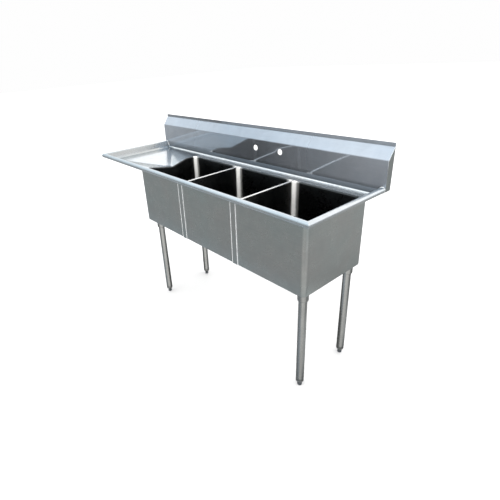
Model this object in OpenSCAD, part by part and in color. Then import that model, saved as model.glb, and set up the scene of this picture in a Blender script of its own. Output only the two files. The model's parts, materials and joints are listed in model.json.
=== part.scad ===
// Three compartment sink with a left drainboard and a boxed backsplash.
// Origin: on the floor, under the centre of the overall box.
// +X runs along the sink to the right, +Y towards the wall, +Z up.

/* [Bowls] */
// Inside width of each bowl, left to right
bowl_w = 457.2; // [380:1:610]
// Inside length of each bowl, front to back
bowl_l = 457.2; // [380:1:610]
// Depth of each bowl below the deck
bowl_depth = 355.6; // [250:1:400]
// Gap between the walls of neighbouring bowls
bowl_gap = 8; // [6:0.5:12]
// Outside radius of the upright corners of a bowl
corner_r = 28; // [22:1:40]
// Outside radius between the walls and the floor of a bowl
floor_r = 6; // [4:1:20]
// Thickness of the sheet steel
sheet_t = 1.2; // [1:0.1:2]

/* [Top] */
// Height of the deck above the floor
deck_h = 931; // [860:1:960]
// Length of the drainboard, from the left rim to the left bowl
board_w = 457.2; // [400:1:620]
// Fall of the drainboard at the bowl, below the deck
board_fall = 34; // [10:1:40]
// Distance of the drainboard's lowest point behind the bowl's front wall
valley_back = 256; // [180:1:300]
// Where the fall begins along the bowl, behind its front wall
fall_front = 66; // [30:1:120]
// Where the fall ends along the bowl, behind its front wall
fall_rear = 381; // [340:1:420]
// Width of the rim, from its outer edge to the bowl wall
rim_w = 44; // [40:1:55]
// Diameter of the rolled edge
roll_d = 30.5; // [26:0.5:34]
// Height of the top of the roll above the deck
rim_rise = 47.7; // [42:0.1:56]
// Width of the flat deck behind the bowls
rear_deck_w = 70.6; // [50:1:100]

/* [Backsplash] */
// Depth of the hollow box behind the face of the backsplash
splash_box = 44.5; // [38:0.5:55]
// Height of the upright face above the deck
splash_face_h = 178.2; // [150:1:230]
// Height of the sloped top
bevel_h = 56; // [40:1:70]
// Height of the lip that meets the wall
lip_h = 19.5; // [12:0.5:26]
// Distance of the bottom of the end caps below the top of the roll
cap_drop = 24; // [10:1:28]
// Distance between the two faucet holes
faucet_pitch = 203.2; // [101.6:0.1:203.2]
// Diameter of a faucet hole
faucet_d = 35; // [25:0.5:38]
// Height of the faucet holes above the deck
faucet_h = 125; // [110:1:140]
// Offset of the faucet holes from the middle bowl's centre
faucet_shift = -31.8; // [-40:0.1:40]

/* [Legs] */
// Outside diameter of a leg tube
leg_d = 41.3; // [38:0.1:48]
// Wall of a leg tube
leg_wall = 1.5; // [1:0.1:2]
// Distance of the front legs behind the front of the bowls
leg_front = 41.9; // [38:0.1:60]
// Distance of the rear legs ahead of the back of the bowls
leg_rear = 61; // [45:1:80]
// Distance of the left legs from the left side of the left bowl
leg_left = 107.8; // [60:1:140]
// Distance of the right legs from the right side of the right bowl
leg_right = 36; // [34:0.1:60]
// Height of the foot below its insert
foot_h = 19.5; // [16:0.5:30]
// Diameter of the foot
foot_d = 24; // [20:0.5:28]

/* [Drains] */
// Outside diameter of the drain flange
flange_d = 112; // [108:1:118]
// Outside diameter of the drain tailpiece
tail_d = 38.1; // [38.1, 31.8]
// Length of the tailpiece below its nut
tail_l = 76; // [50:1:90]

/* [Hidden] */
$fn = 64;
steel = [0.70, 0.72, 0.74];
bright_steel = [0.80, 0.83, 0.86];
dark_steel = [0.42, 0.45, 0.48];
chrome = [0.85, 0.86, 0.88];
foot_grey = [0.25, 0.26, 0.28];
rubber = [0.08, 0.08, 0.08];
cut = 1; // overlap that makes a clean cut
gap = 0.1; // clearance between pieces that are fastened together
filler_depth = 5; // thickness of the filler plates between the bowls

// Bowls
tub_w = bowl_w + 2 * sheet_t;
tub_l = bowl_l + 2 * sheet_t;
bowl_pitch = tub_w + bowl_gap;
block_w = 3 * tub_w + 2 * bowl_gap;
overall_w = 2 * rim_w + board_w + block_w;
face_y = rim_w + tub_l + rear_deck_w; // front face of the backsplash
overall_l = face_y + splash_box;
board_end = rim_w + board_w; // left side of the left bowl
bowl_bottom = deck_h - bowl_depth - sheet_t;
bowl_floor = deck_h - bowl_depth;

// Rim
roll_r = roll_d / 2;
roll_z = deck_h + rim_rise - roll_r;
web_angle = 28; // where the web leaves the roll, above the level of its centre
web_foot = deck_h + 11; // height at which the web meets the bowl wall
hem_angle = 315; // where the rolled sheet ends

// Backsplash
face_top = deck_h + splash_face_h;
bevel_top = face_top + bevel_h;
splash_top = bevel_top + lip_h;
splash_bottom = deck_h - sheet_t;
cap_bottom = deck_h + rim_rise - cap_drop;
cap_flange = 14; // width of the flanges that stiffen an end cap
faucet_x = board_end + bowl_pitch + tub_w / 2 + faucet_shift;
faucet_z = deck_h + faucet_h;

// Legs
leg_left_x = board_end + leg_left;
leg_right_x = board_end + block_w - leg_right;
leg_front_y = rim_w + leg_front;
leg_rear_y = rim_w + tub_l - leg_rear;
plate_t = 3; // thickness of a socket's weld plate
collar_h = 36; // height of a socket's collar
collar_r = 26.6; // outside radius of a socket's collar
collar_step = 3; // height of the taper at the bottom of the collar
insert_cone_h = 15; // height of the taper below the tube
insert_plug_h = 42; // length of the plug inside the tube
insert_tip_r = 12.4; // radius at the bottom of the taper
stem_r = 6.3; // radius of the foot's threaded stem
stem_l = 62; // length of the foot's threaded stem
stem_clearance = 0.05; // radial clearance between the stem and its insert
screw_r = 3; // radius of a set screw
screw_l = 8.5; // length of a set screw
tube_bottom = foot_h + insert_cone_h;
socket_top = bowl_bottom;
tube_top = socket_top - plate_t;

// Drains, as heights above the bowl floor and radii
barrel_r = 44.5; // outside of the threaded barrel
barrel_depth = 48; // depth of the barrel below the bowl floor
seat_r = 43; // bore above the seat for the basket's lip
seat_depth = 5; // depth of that seat
well_r = 40; // bore below the seat
outlet_r = 16.5; // outlet at the bottom of the barrel
spigot_r = 22; // outside of the threaded spigot
spigot_l = 18; // length of the spigot
flange_t = 1.6; // thickness of the flange
gasket_t = 3; // thickness of the gasket
locknut_t = 11; // thickness of the locknut
coupling_r = 27; // outside of the coupling nut
coupling_h = 22; // height of the coupling nut
coupling_lip = 3; // thickness of the nut's inward lip, under the tailpiece's flange
tail_wall = 1.5; // wall of the tailpiece
tail_flange_t = 2; // thickness of the tailpiece's flange
shoulder_r = tail_d / 2 + 0.6; // tailpiece inside the nut's lip
tail_top = -barrel_depth - spigot_l; // top of the tailpiece's flange

// Baskets
basket_lip_r = 42.4;
basket_r = 38.4;
basket_depth = 31;
basket_t = 0.8;
knob_r = 9;
post_r = 3.5;
stopper_r = 24;
stopper_t = 4;

// Puts a piece that is drawn from the left front corner of the sink into the part's frame
module place() {
    translate([-overall_w / 2, -overall_l / 2, 0]) children();
}

// Left side of a bowl: 0 is the left bowl
function bowl_x(i) = board_end + i * bowl_pitch;

// ---- Bowls ----

// Half section of a tub's upright corner
module corner_section(r, bottom_r, h) {
    translate([0, bottom_r]) square([r, h - bottom_r]);
    square([r - bottom_r, bottom_r]);
    intersection() {
        translate([r - bottom_r, bottom_r]) circle(bottom_r);
        translate([r - bottom_r, 0]) square([bottom_r, bottom_r]);
    }
}

// Full section of a tub between its upright corners
module wall_section(span, bottom_r, h) {
    translate([0, bottom_r]) square([span, h - bottom_r]);
    translate([bottom_r, 0]) square([span - 2 * bottom_r, bottom_r]);
    for (at = [bottom_r, span - bottom_r]) translate([at, bottom_r]) circle(bottom_r);
}

// Solid tub with rounded upright corners and a rounded floor
module tub(w, l, h, r, bottom_r) {
    translate([r, 0, 0]) rotate([90, 0, 90]) linear_extrude(w - 2 * r)
        wall_section(l, bottom_r, h);
    translate([0, l - r, 0]) rotate([90, 0, 0]) linear_extrude(l - 2 * r)
        wall_section(w, bottom_r, h);
    for (x = [r, w - r], y = [r, l - r]) translate([x, y, 0])
        rotate_extrude() corner_section(r, bottom_r, h);
}

// One bowl: the tub, its squared flange at deck level and the upstand under the front rim
module bowl(i) {
    translate([bowl_x(i), rim_w, 0]) {
        difference() {
            union() {
                translate([0, 0, bowl_bottom])
                    tub(tub_w, tub_l, bowl_depth + sheet_t, corner_r, floor_r);
                translate([0, 0, deck_h - sheet_t]) cube([tub_w, tub_l, sheet_t]);
            }
            translate([sheet_t, sheet_t, bowl_floor])
                tub(bowl_w, bowl_l, bowl_depth + cut, corner_r - sheet_t, floor_r - sheet_t);
            translate([tub_w / 2, tub_l / 2, bowl_bottom - cut])
                cylinder(r = barrel_r + gap, h = sheet_t + 2 * cut);
        }
        translate([0, 0, deck_h]) cube([tub_w, sheet_t, web_foot - deck_h]);
    }
}

// Notch in the left bowl's wall that follows the drainboard's valley
module valley_notch() {
    translate([board_end - cut, 0, 0]) rotate([90, 0, 90]) linear_extrude(sheet_t + cut + 0.01)
        polygon([
            [rim_w + fall_front, deck_h],
            [rim_w + fall_front, deck_h + cut],
            [rim_w + fall_rear, deck_h + cut],
            [rim_w + fall_rear, deck_h],
            [rim_w + valley_back, deck_h - board_fall]
        ]);
}

module bowl_left() {
    color(steel) place() difference() {
        bowl(0);
        valley_notch();
    }
}

module bowl_middle() {
    color(steel) place() bowl(1);
}

module bowl_right() {
    color(steel) place() union() {
        bowl(2);
        translate([bowl_x(2) + tub_w - sheet_t, rim_w, deck_h])
            cube([sheet_t, tub_l, web_foot - deck_h]);
    }
}

// ---- Top ----

// Drainboard: coved edges at the rims and three facets that fall to the bowl
module drainboard() {
    cove = 27; // width of the coved edge
    top = [
        [rim_w, rim_w, web_foot],
        [rim_w, face_y, web_foot],
        [board_end, rim_w, web_foot],
        [rim_w + cove, rim_w + cove, deck_h],
        [rim_w + cove, face_y, deck_h],
        [board_end, rim_w + cove, deck_h],
        [board_end, rim_w + fall_rear, deck_h],
        [board_end, face_y, deck_h],
        [board_end, rim_w + valley_back, deck_h - board_fall],
        [board_end, rim_w + fall_front, deck_h]
    ];
    count = len(top);
    faces = [[0, 1, 4, 3], [0, 3, 5, 2], [3, 4, 8], [3, 8, 9], [3, 9, 5], [4, 6, 8], [4, 7, 6]];
    outline = [0, 1, 4, 7, 6, 8, 9, 5, 2];
    sides = [
        for (k = [0:len(outline) - 1])
            let (a = outline[k], b = outline[(k + 1) % len(outline)])
                [a, a + count, b + count, b]
    ];
    color(bright_steel) place() polyhedron(
        points = concat(top, [for (p = top) [p[0], p[1], p[2] - sheet_t]]),
        faces = concat(faces, [for (f = faces) [for (k = [len(f) - 1:-1:0]) f[k] + count]], sides)
    );
}

// Flat deck behind the bowls, with an upstand under the right rim
module rear_deck() {
    color(bright_steel) place() {
        translate([board_end, rim_w + tub_l, deck_h - sheet_t])
            cube([block_w, rear_deck_w, sheet_t]);
        translate([board_end + block_w - sheet_t, rim_w + tub_l, deck_h])
            cube([sheet_t, rear_deck_w, web_foot - deck_h]);
    }
}

// Cap over the two walls between neighbouring bowls, with a web down into the gap
module divider_cap(i) {
    cap_w = bowl_gap + 2 * sheet_t + 2;
    cap_t = 2.5;
    web_l = 18;
    web_clear = filler_depth + gap; // web stops short of the fillers at both ends
    color(bright_steel) place() translate([bowl_x(i) + tub_w + bowl_gap / 2, rim_w + tub_l, deck_h])
        rotate([90, 0, 0]) {
            linear_extrude(tub_l - sheet_t) difference() {
                union() {
                    translate([-cap_w / 2, 0]) square([cap_w, cap_t / 2]);
                    translate([-cap_w / 2 + cap_t / 2, 0]) square([cap_w - cap_t, cap_t]);
                    for (side = [-1, 1]) translate([side * (cap_w - cap_t) / 2, cap_t / 2])
                        circle(cap_t / 2);
                }
                translate([-cap_w, -cap_t]) square([2 * cap_w, cap_t]);
            }
            translate([-bowl_gap / 2 + gap, -web_l, web_clear])
                cube([bowl_gap - 2 * gap, web_l, tub_l - 2 * web_clear]);
        }
}

module divider_cap_left() { divider_cap(0); }
module divider_cap_right() { divider_cap(1); }

// The rim's section, from its outer edge inwards, is an open roll and a sloped web
web_lean = [sin(web_angle), -cos(web_angle)]; // direction of the web, inwards and down
web_out = [cos(web_angle), sin(web_angle)]; // outward normal of the web
roll_centre = [roll_r, roll_z];

module roll_section() {
    difference() {
        translate(roll_centre) circle(roll_r);
        translate(roll_centre) circle(roll_r - sheet_t);
        polygon([
            roll_centre,
            roll_centre + roll_d * [cos(hem_angle), sin(hem_angle)],
            roll_centre + roll_d * web_out
        ]);
    }
}

module web_section() {
    start = roll_centre + roll_r * web_out;
    foot = start + (start[1] - web_foot) / cos(web_angle) * web_lean;
    polygon([
        start,
        start - sheet_t / 2 * web_out - 2 * web_lean, // a tongue that ties the web into the roll
        start - sheet_t * web_out,
        foot - sheet_t * web_out,
        foot
    ]);
}

// Straight length of rim along +X, mitred at 45 degrees where asked
module rim_bar(len, mitre_start, mitre_end) {
    reach = rim_w + 10;
    difference() {
        union() {
            rotate([90, 0, 90]) linear_extrude(len) roll_section();
            rotate([90, 0, 90]) linear_extrude(len) web_section();
        }
        if (mitre_start) translate([0, 0, deck_h - reach])
            linear_extrude(2 * reach) polygon([[-cut, -cut], [-cut, reach], [reach, reach]]);
        if (mitre_end) translate([len, 0, deck_h - reach])
            linear_extrude(2 * reach) polygon([[cut, -cut], [cut, reach], [-reach, reach]]);
    }
}

module rim_front() {
    color(bright_steel) place() rim_bar(overall_w, true, true);
}

module rim_left() {
    color(bright_steel) place() mirror([0, 1, 0]) rotate([0, 0, -90]) rim_bar(face_y, true, false);
}

module rim_right() {
    color(bright_steel) place() translate([overall_w, 0, 0])
        rotate([0, 0, 90]) rim_bar(face_y, true, false);
}

// ---- Fillers between the bowls ----

// Section of a filler at the front: a flush plate with a rounded weld along each edge
module filler_section(half_w, depth, bead_r) {
    side = corner_r + bowl_gap / 2;
    difference() {
        union() {
            translate([-half_w, 0]) square([2 * half_w, depth]);
            for (x = [-half_w, half_w]) translate([x, bead_r / 3]) circle(bead_r);
        }
        for (x = [-side, side]) translate([x, corner_r]) circle(corner_r);
    }
}

// Filler strip over the joint between bowls i and i + 1, at the front of the bowls
module filler(i, top) {
    half_w = 19.5;
    bead_r = 3.2;
    bead_top = top - 1; // weld stops just under the rim
    middle = bowl_x(i) + tub_w + bowl_gap / 2;
    below_flange = deck_h - sheet_t;
    translate([middle, rim_w, 0]) {
        translate([0, 0, bowl_bottom + floor_r]) linear_extrude(below_flange - bowl_bottom - floor_r)
            filler_section(half_w, filler_depth, bead_r);
        if (top > below_flange) translate([0, 0, below_flange]) {
            linear_extrude(top - below_flange)
                translate([-bowl_gap / 2, 0]) square([bowl_gap, sheet_t]);
            linear_extrude(bead_top - below_flange) difference() {
                for (x = [-half_w, half_w]) translate([x, bead_r / 3]) circle(bead_r);
                translate([-2 * half_w, 0]) square([4 * half_w, 4 * bead_r]);
            }
        }
    }
}

// The same strip at the back of the bowls
module rear_filler(i) {
    translate([0, 2 * rim_w + tub_l, 0]) mirror([0, 1, 0]) filler(i, 0);
}

module front_filler_left() { color(steel) place() filler(0, web_foot); }
module front_filler_right() { color(steel) place() filler(1, web_foot); }
module rear_filler_left() { color(steel) place() rear_filler(0); }
module rear_filler_right() { color(steel) place() rear_filler(1); }

// ---- Backsplash ----

module backsplash() {
    back = overall_l;
    slope = atan2(bevel_h, splash_box - sheet_t); // angle of the sloped top
    inner = sheet_t * tan(slope / 2 - 45); // height shift of the inner bends
    color(dark_steel) place() difference() {
        rotate([90, 0, 90]) linear_extrude(overall_w) polygon([
            [face_y, splash_bottom],
            [face_y, face_top],
            [back - sheet_t, bevel_top],
            [back - sheet_t, splash_top],
            [back, splash_top],
            [back, bevel_top + inner],
            [face_y + sheet_t, face_top + inner],
            [face_y + sheet_t, splash_bottom]
        ]);
        for (side = [-1, 1])
            translate([faucet_x + side * faucet_pitch / 2, face_y - cut, faucet_z])
                rotate([-90, 0, 0]) cylinder(d = faucet_d, h = sheet_t + 2 * cut);
        for (x = [-cut, overall_w - rim_w]) translate([x, face_y - cut, splash_bottom - cut])
            cube([rim_w + cut, sheet_t + 2 * cut, cap_bottom - splash_bottom + cut]);
    }
}

// End cap of the boxed backsplash, drawn for the left end
module splash_end() {
    front = face_y + sheet_t;
    inner = sheet_t * tan(atan2(bevel_h, splash_box - sheet_t) / 2 - 45);
    fit = 0.2; // cap stands this far behind the bent sheet
    rotate([90, 0, 90]) linear_extrude(sheet_t) polygon([
        [front, cap_bottom],
        [front, face_top + inner - fit],
        [overall_l, bevel_top + inner - fit],
        [overall_l, cap_bottom]
    ]);
    translate([0, overall_l - sheet_t, cap_bottom]) cube([cap_flange, sheet_t, bevel_top - cap_bottom - 6]);
    translate([0, front, cap_bottom]) cube([cap_flange, splash_box - sheet_t, sheet_t]);
}

module splash_end_left() {
    color(steel) place() splash_end();
}

module splash_end_right() {
    color(steel) place() translate([overall_w, 0, 0]) mirror([1, 0, 0]) splash_end();
}

// ---- Legs ----

// Socket under a bowl: a weld plate and a collar, drawn for the left front leg and mirrored for
// the others, so that the wide corner of the plate points to the middle of the bowls
module leg_socket(x, y, flip_x, flip_y) {
    short = 18; // plate beyond the leg's axis, towards the outside of the bowl
    long = 74; // plate beyond the leg's axis, towards the middle of the bowl
    color(steel) place() translate([x, y, 0])
        mirror([flip_x ? 1 : 0, 0, 0]) mirror([0, flip_y ? 1 : 0, 0]) difference() {
            union() {
                translate([0, 0, socket_top - plate_t]) linear_extrude(plate_t) {
                    polygon([[-short, -short], [long, -short], [long, 0], [0, long], [-short, long]]);
                    circle(collar_r);
                }
                translate([0, 0, tube_top - collar_h]) rotate_extrude() polygon([
                    [0, 0],
                    [collar_r - collar_step, 0],
                    [collar_r, collar_step],
                    [collar_r, collar_h],
                    [0, collar_h]
                ]);
            }
            translate([0, 0, tube_top - collar_h - cut])
                cylinder(r = leg_d / 2 + gap, h = collar_h + cut);
            translate([0, 0, tube_top - collar_h / 2]) rotate([0, 90, 45])
                cylinder(r = screw_r + gap, h = collar_r + cut);
        }
}

module leg_socket_front_left() { leg_socket(leg_left_x, leg_front_y, false, false); }
module leg_socket_front_right() { leg_socket(leg_right_x, leg_front_y, true, false); }
module leg_socket_rear_left() { leg_socket(leg_left_x, leg_rear_y, false, true); }
module leg_socket_rear_right() { leg_socket(leg_right_x, leg_rear_y, true, true); }

// Socket set screws, one in each collar, with a hexagon recess
module leg_set_screws() {
    recess_r = 1.8;
    recess_depth = 3;
    start = leg_d / 2 + gap / 2;
    color(dark_steel) place() for (sx = [1, -1], sy = [1, -1])
        translate([sx > 0 ? leg_left_x : leg_right_x,
                   sy > 0 ? leg_front_y : leg_rear_y,
                   tube_top - collar_h / 2])
            rotate([0, 90, atan2(sy, sx)]) translate([0, 0, start]) difference() {
                cylinder(r = screw_r, h = screw_l);
                translate([0, 0, screw_l - recess_depth])
                    cylinder(r = recess_r, h = recess_depth + cut, $fn = 6);
            }
}

// Leg tube, from its foot insert up into its socket
module leg(x, y) {
    color(steel) place() translate([x, y, tube_bottom]) difference() {
        cylinder(d = leg_d, h = tube_top - tube_bottom);
        translate([0, 0, -cut]) cylinder(d = leg_d - 2 * leg_wall, h = tube_top - tube_bottom + 2 * cut);
    }
}

module leg_front_left() { leg(leg_left_x, leg_front_y); }
module leg_front_right() { leg(leg_right_x, leg_front_y); }
module leg_rear_left() { leg(leg_left_x, leg_rear_y); }
module leg_rear_right() { leg(leg_right_x, leg_rear_y); }

// Insert pressed into the bottom of a leg tube: a tapered collar, a plug and a bore for the foot
module foot_insert(x, y) {
    plug_r = leg_d / 2 - leg_wall - gap;
    color(steel) place() translate([x, y, foot_h]) difference() {
        rotate_extrude() polygon([
            [0, 0],
            [insert_tip_r, 0],
            [leg_d / 2, insert_cone_h - 3],
            [leg_d / 2, insert_cone_h],
            [plug_r, insert_cone_h],
            [plug_r, insert_cone_h + insert_plug_h],
            [0, insert_cone_h + insert_plug_h]
        ]);
        translate([0, 0, -cut])
            cylinder(r = stem_r + stem_clearance, h = insert_cone_h + insert_plug_h + 2 * cut);
    }
}

module foot_insert_front_left() { foot_insert(leg_left_x, leg_front_y); }
module foot_insert_front_right() { foot_insert(leg_right_x, leg_front_y); }
module foot_insert_rear_left() { foot_insert(leg_left_x, leg_rear_y); }
module foot_insert_rear_right() { foot_insert(leg_right_x, leg_rear_y); }

// Adjustable bullet foot: a rounded tip, a narrow neck and a stem in the insert's bore
module foot(x, y) {
    r = foot_d / 2;
    round_r = 5; // rounding of the bottom edge
    neck_r = r - 2;
    neck_h = 4.5;
    color(foot_grey) place() translate([x, y, 0]) union() {
        rotate_extrude() {
            square([r - round_r, foot_h]);
            translate([0, round_r]) square([r, foot_h - neck_h - round_r]);
            square([neck_r, foot_h]);
            intersection() {
                translate([r - round_r, round_r]) circle(round_r);
                translate([r - round_r, 0]) square([round_r, round_r]);
            }
        }
        translate([0, 0, foot_h - cut]) cylinder(r = stem_r, h = stem_l + cut);
    }
}

module foot_front_left() { foot(leg_left_x, leg_front_y); }
module foot_front_right() { foot(leg_right_x, leg_front_y); }
module foot_rear_left() { foot(leg_left_x, leg_rear_y); }
module foot_rear_right() { foot(leg_right_x, leg_rear_y); }

// ---- Drains ----

// Moves a piece drawn about a drain's axis, with z = 0 on the bowl floor, to bowl i
module at_drain(i) {
    place() translate([bowl_x(i) + tub_w / 2, rim_w + tub_l / 2, bowl_floor]) children();
}

// Flanged drain body: a well for the basket and a spigot at the bottom
module drain_body(i) {
    bottom = 2; // thickness of the bottom of the well
    color(chrome) at_drain(i) difference() {
        union() {
            cylinder(d = flange_d, h = flange_t);
            translate([0, 0, -barrel_depth]) cylinder(r = barrel_r, h = barrel_depth);
            translate([0, 0, -barrel_depth - spigot_l]) cylinder(r = spigot_r, h = spigot_l);
        }
        translate([0, 0, -seat_depth]) cylinder(r = seat_r, h = seat_depth + flange_t + cut);
        translate([0, 0, -barrel_depth + bottom]) cylinder(r = well_r, h = barrel_depth);
        translate([0, 0, -barrel_depth - spigot_l - cut]) cylinder(r = outlet_r, h = barrel_depth);
    }
}

module drain_body_left() { drain_body(0); }
module drain_body_middle() { drain_body(1); }
module drain_body_right() { drain_body(2); }

// Rubber ring between the underside of the bowl and the locknut
module drain_gasket(i) {
    color(rubber) at_drain(i) translate([0, 0, -sheet_t - gasket_t]) difference() {
        cylinder(d = flange_d - 4, h = gasket_t);
        translate([0, 0, -cut]) cylinder(r = barrel_r + gap, h = gasket_t + 2 * cut);
    }
}

module drain_gasket_left() { drain_gasket(0); }
module drain_gasket_middle() { drain_gasket(1); }
module drain_gasket_right() { drain_gasket(2); }

// Large locknut with lugs, below the gasket
module drain_locknut(i) {
    lugs = 6;
    ring_r = flange_d / 2 - 4;
    lug_w = 14;
    lug_l = 6;
    color(dark_steel) at_drain(i) translate([0, 0, -sheet_t - gasket_t - locknut_t]) difference() {
        union() {
            cylinder(r = ring_r, h = locknut_t);
            for (k = [0:lugs - 1]) rotate([0, 0, k * 360 / lugs])
                translate([ring_r - 4, -lug_w / 2, 0]) cube([lug_l + 4, lug_w, locknut_t]);
        }
        translate([0, 0, -cut]) cylinder(r = barrel_r + gap, h = locknut_t + 2 * cut);
    }
}

module drain_locknut_left() { drain_locknut(0); }
module drain_locknut_middle() { drain_locknut(1); }
module drain_locknut_right() { drain_locknut(2); }

// Hexagon coupling nut that holds the tailpiece against the spigot
module drain_coupling(i) {
    color(chrome) at_drain(i) translate([0, 0, tail_top - tail_flange_t - coupling_lip]) difference() {
        union() {
            cylinder(r = coupling_r, h = coupling_h * 0.75, $fn = 6);
            cylinder(r = coupling_r * 0.87, h = coupling_h);
        }
        translate([0, 0, coupling_lip]) cylinder(r = spigot_r + gap, h = coupling_h);
        translate([0, 0, -cut]) cylinder(r = shoulder_r + gap, h = coupling_lip + 2 * cut);
    }
}

module drain_coupling_left() { drain_coupling(0); }
module drain_coupling_middle() { drain_coupling(1); }
module drain_coupling_right() { drain_coupling(2); }

// Flanged tailpiece tube, with a shoulder where it passes through the nut's lip
module drain_tailpiece(i) {
    length = tail_l + coupling_lip + tail_flange_t;
    color(chrome) at_drain(i) translate([0, 0, tail_top - length]) difference() {
        union() {
            cylinder(d = tail_d, h = tail_l);
            translate([0, 0, tail_l]) cylinder(r = shoulder_r, h = coupling_lip + tail_flange_t);
            translate([0, 0, length - tail_flange_t]) cylinder(r = spigot_r - gap, h = tail_flange_t);
        }
        translate([0, 0, -cut]) cylinder(d = tail_d - 2 * tail_wall, h = length + 2 * cut);
    }
}

module drain_tailpiece_left() { drain_tailpiece(0); }
module drain_tailpiece_middle() { drain_tailpiece(1); }
module drain_tailpiece_right() { drain_tailpiece(2); }

// Strainer cup with a lip on the seat and rings of perforations in its floor
module basket_cup(i) {
    color(chrome) at_drain(i) translate([0, 0, -seat_depth - basket_depth]) difference() {
        union() {
            cylinder(r = basket_r, h = basket_depth);
            translate([0, 0, basket_depth]) cylinder(r = basket_lip_r, h = basket_t);
        }
        translate([0, 0, basket_t]) cylinder(r = basket_r - basket_t, h = basket_depth + cut);
        translate([0, 0, -cut]) cylinder(r = post_r + gap, h = basket_t + 2 * cut);
        for (k = [0:15]) rotate([0, 0, k * 22.5]) translate([31, 0, -cut])
            cylinder(r = 2.4, h = basket_t + 2 * cut);
    }
}

module basket_cup_left() { basket_cup(0); }
module basket_cup_middle() { basket_cup(1); }
module basket_cup_right() { basket_cup(2); }

// Post with a finger knob, through the cup and the stopper
module basket_knob(i) {
    head_h = 10;
    top = 3; // height of the knob above the bowl floor
    bottom = -seat_depth - basket_depth - stopper_t - 2;
    color(chrome) at_drain(i) union() {
        translate([0, 0, bottom + 2]) cylinder(r = post_r, h = top - bottom - 2 - head_h / 2);
        translate([0, 0, bottom]) cylinder(r = post_r + 2, h = 2);
        translate([0, 0, -seat_depth - basket_depth + basket_t]) cylinder(r = post_r + 3, h = 3);
        translate([0, 0, top - head_h]) rotate_extrude() polygon([
            [0, 0],
            [knob_r * 0.45, 0],
            [knob_r, head_h * 0.45],
            [knob_r, head_h * 0.8],
            [knob_r * 0.8, head_h],
            [0, head_h]
        ]);
    }
}

module basket_knob_left() { basket_knob(0); }
module basket_knob_middle() { basket_knob(1); }
module basket_knob_right() { basket_knob(2); }

// Rubber disc under the cup that closes the outlet when the basket is pushed down
module basket_stopper(i) {
    color(rubber) at_drain(i) translate([0, 0, -seat_depth - basket_depth - stopper_t]) difference() {
        cylinder(r = stopper_r, h = stopper_t);
        translate([0, 0, -cut]) cylinder(r = post_r + gap, h = stopper_t + 2 * cut);
    }
}

module basket_stopper_left() { basket_stopper(0); }
module basket_stopper_middle() { basket_stopper(1); }
module basket_stopper_right() { basket_stopper(2); }

bowl_left();
bowl_middle();
bowl_right();
drainboard();
rear_deck();
divider_cap_left();
divider_cap_right();
rim_front();
rim_left();
rim_right();
front_filler_left();
front_filler_right();
rear_filler_left();
rear_filler_right();
backsplash();
splash_end_left();
splash_end_right();
leg_socket_front_left();
leg_socket_front_right();
leg_socket_rear_left();
leg_socket_rear_right();
leg_set_screws();
leg_front_left();
leg_front_right();
leg_rear_left();
leg_rear_right();
foot_insert_front_left();
foot_insert_front_right();
foot_insert_rear_left();
foot_insert_rear_right();
foot_front_left();
foot_front_right();
foot_rear_left();
foot_rear_right();
drain_body_left();
drain_body_middle();
drain_body_right();
drain_gasket_left();
drain_gasket_middle();
drain_gasket_right();
drain_locknut_left();
drain_locknut_middle();
drain_locknut_right();
drain_coupling_left();
drain_coupling_middle();
drain_coupling_right();
drain_tailpiece_left();
drain_tailpiece_middle();
drain_tailpiece_right();
basket_cup_left();
basket_cup_middle();
basket_cup_right();
basket_knob_left();
basket_knob_middle();
basket_knob_right();
basket_stopper_left();
basket_stopper_middle();
basket_stopper_right();
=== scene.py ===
"""Three compartment sink: the looks of every piece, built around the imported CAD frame.

Lengths are in metres and +Z is up. Places come from the frame's boxes, so each visible piece
stands where its CAD node stands. Outlines are worked out from a few named sizes.
"""

import json
import math

import bmesh
import bpy
from mathutils import Matrix, Vector


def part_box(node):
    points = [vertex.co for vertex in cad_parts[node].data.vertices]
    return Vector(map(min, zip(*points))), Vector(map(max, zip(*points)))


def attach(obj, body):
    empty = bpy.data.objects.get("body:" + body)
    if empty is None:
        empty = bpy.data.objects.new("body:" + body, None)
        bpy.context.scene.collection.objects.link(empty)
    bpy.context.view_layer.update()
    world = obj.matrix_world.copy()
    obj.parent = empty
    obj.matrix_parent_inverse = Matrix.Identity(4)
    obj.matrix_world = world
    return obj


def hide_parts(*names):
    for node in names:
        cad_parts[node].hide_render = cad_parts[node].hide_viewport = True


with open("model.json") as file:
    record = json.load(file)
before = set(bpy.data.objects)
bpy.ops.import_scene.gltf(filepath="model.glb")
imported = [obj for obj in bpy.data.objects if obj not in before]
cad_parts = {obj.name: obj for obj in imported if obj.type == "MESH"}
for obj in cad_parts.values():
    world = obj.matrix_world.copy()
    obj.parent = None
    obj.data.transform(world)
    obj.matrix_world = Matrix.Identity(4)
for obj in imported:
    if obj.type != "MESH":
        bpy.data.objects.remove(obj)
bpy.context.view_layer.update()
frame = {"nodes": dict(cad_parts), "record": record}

MM = 0.001
SHEET = 1.2 * MM  # thickness of the sheet steel
TAU = 2 * math.pi
SIDES = ("left", "middle", "right")
CORNERS = ("front_left", "front_right", "rear_left", "rear_right")

# ---- Places taken from the frame ----

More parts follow.
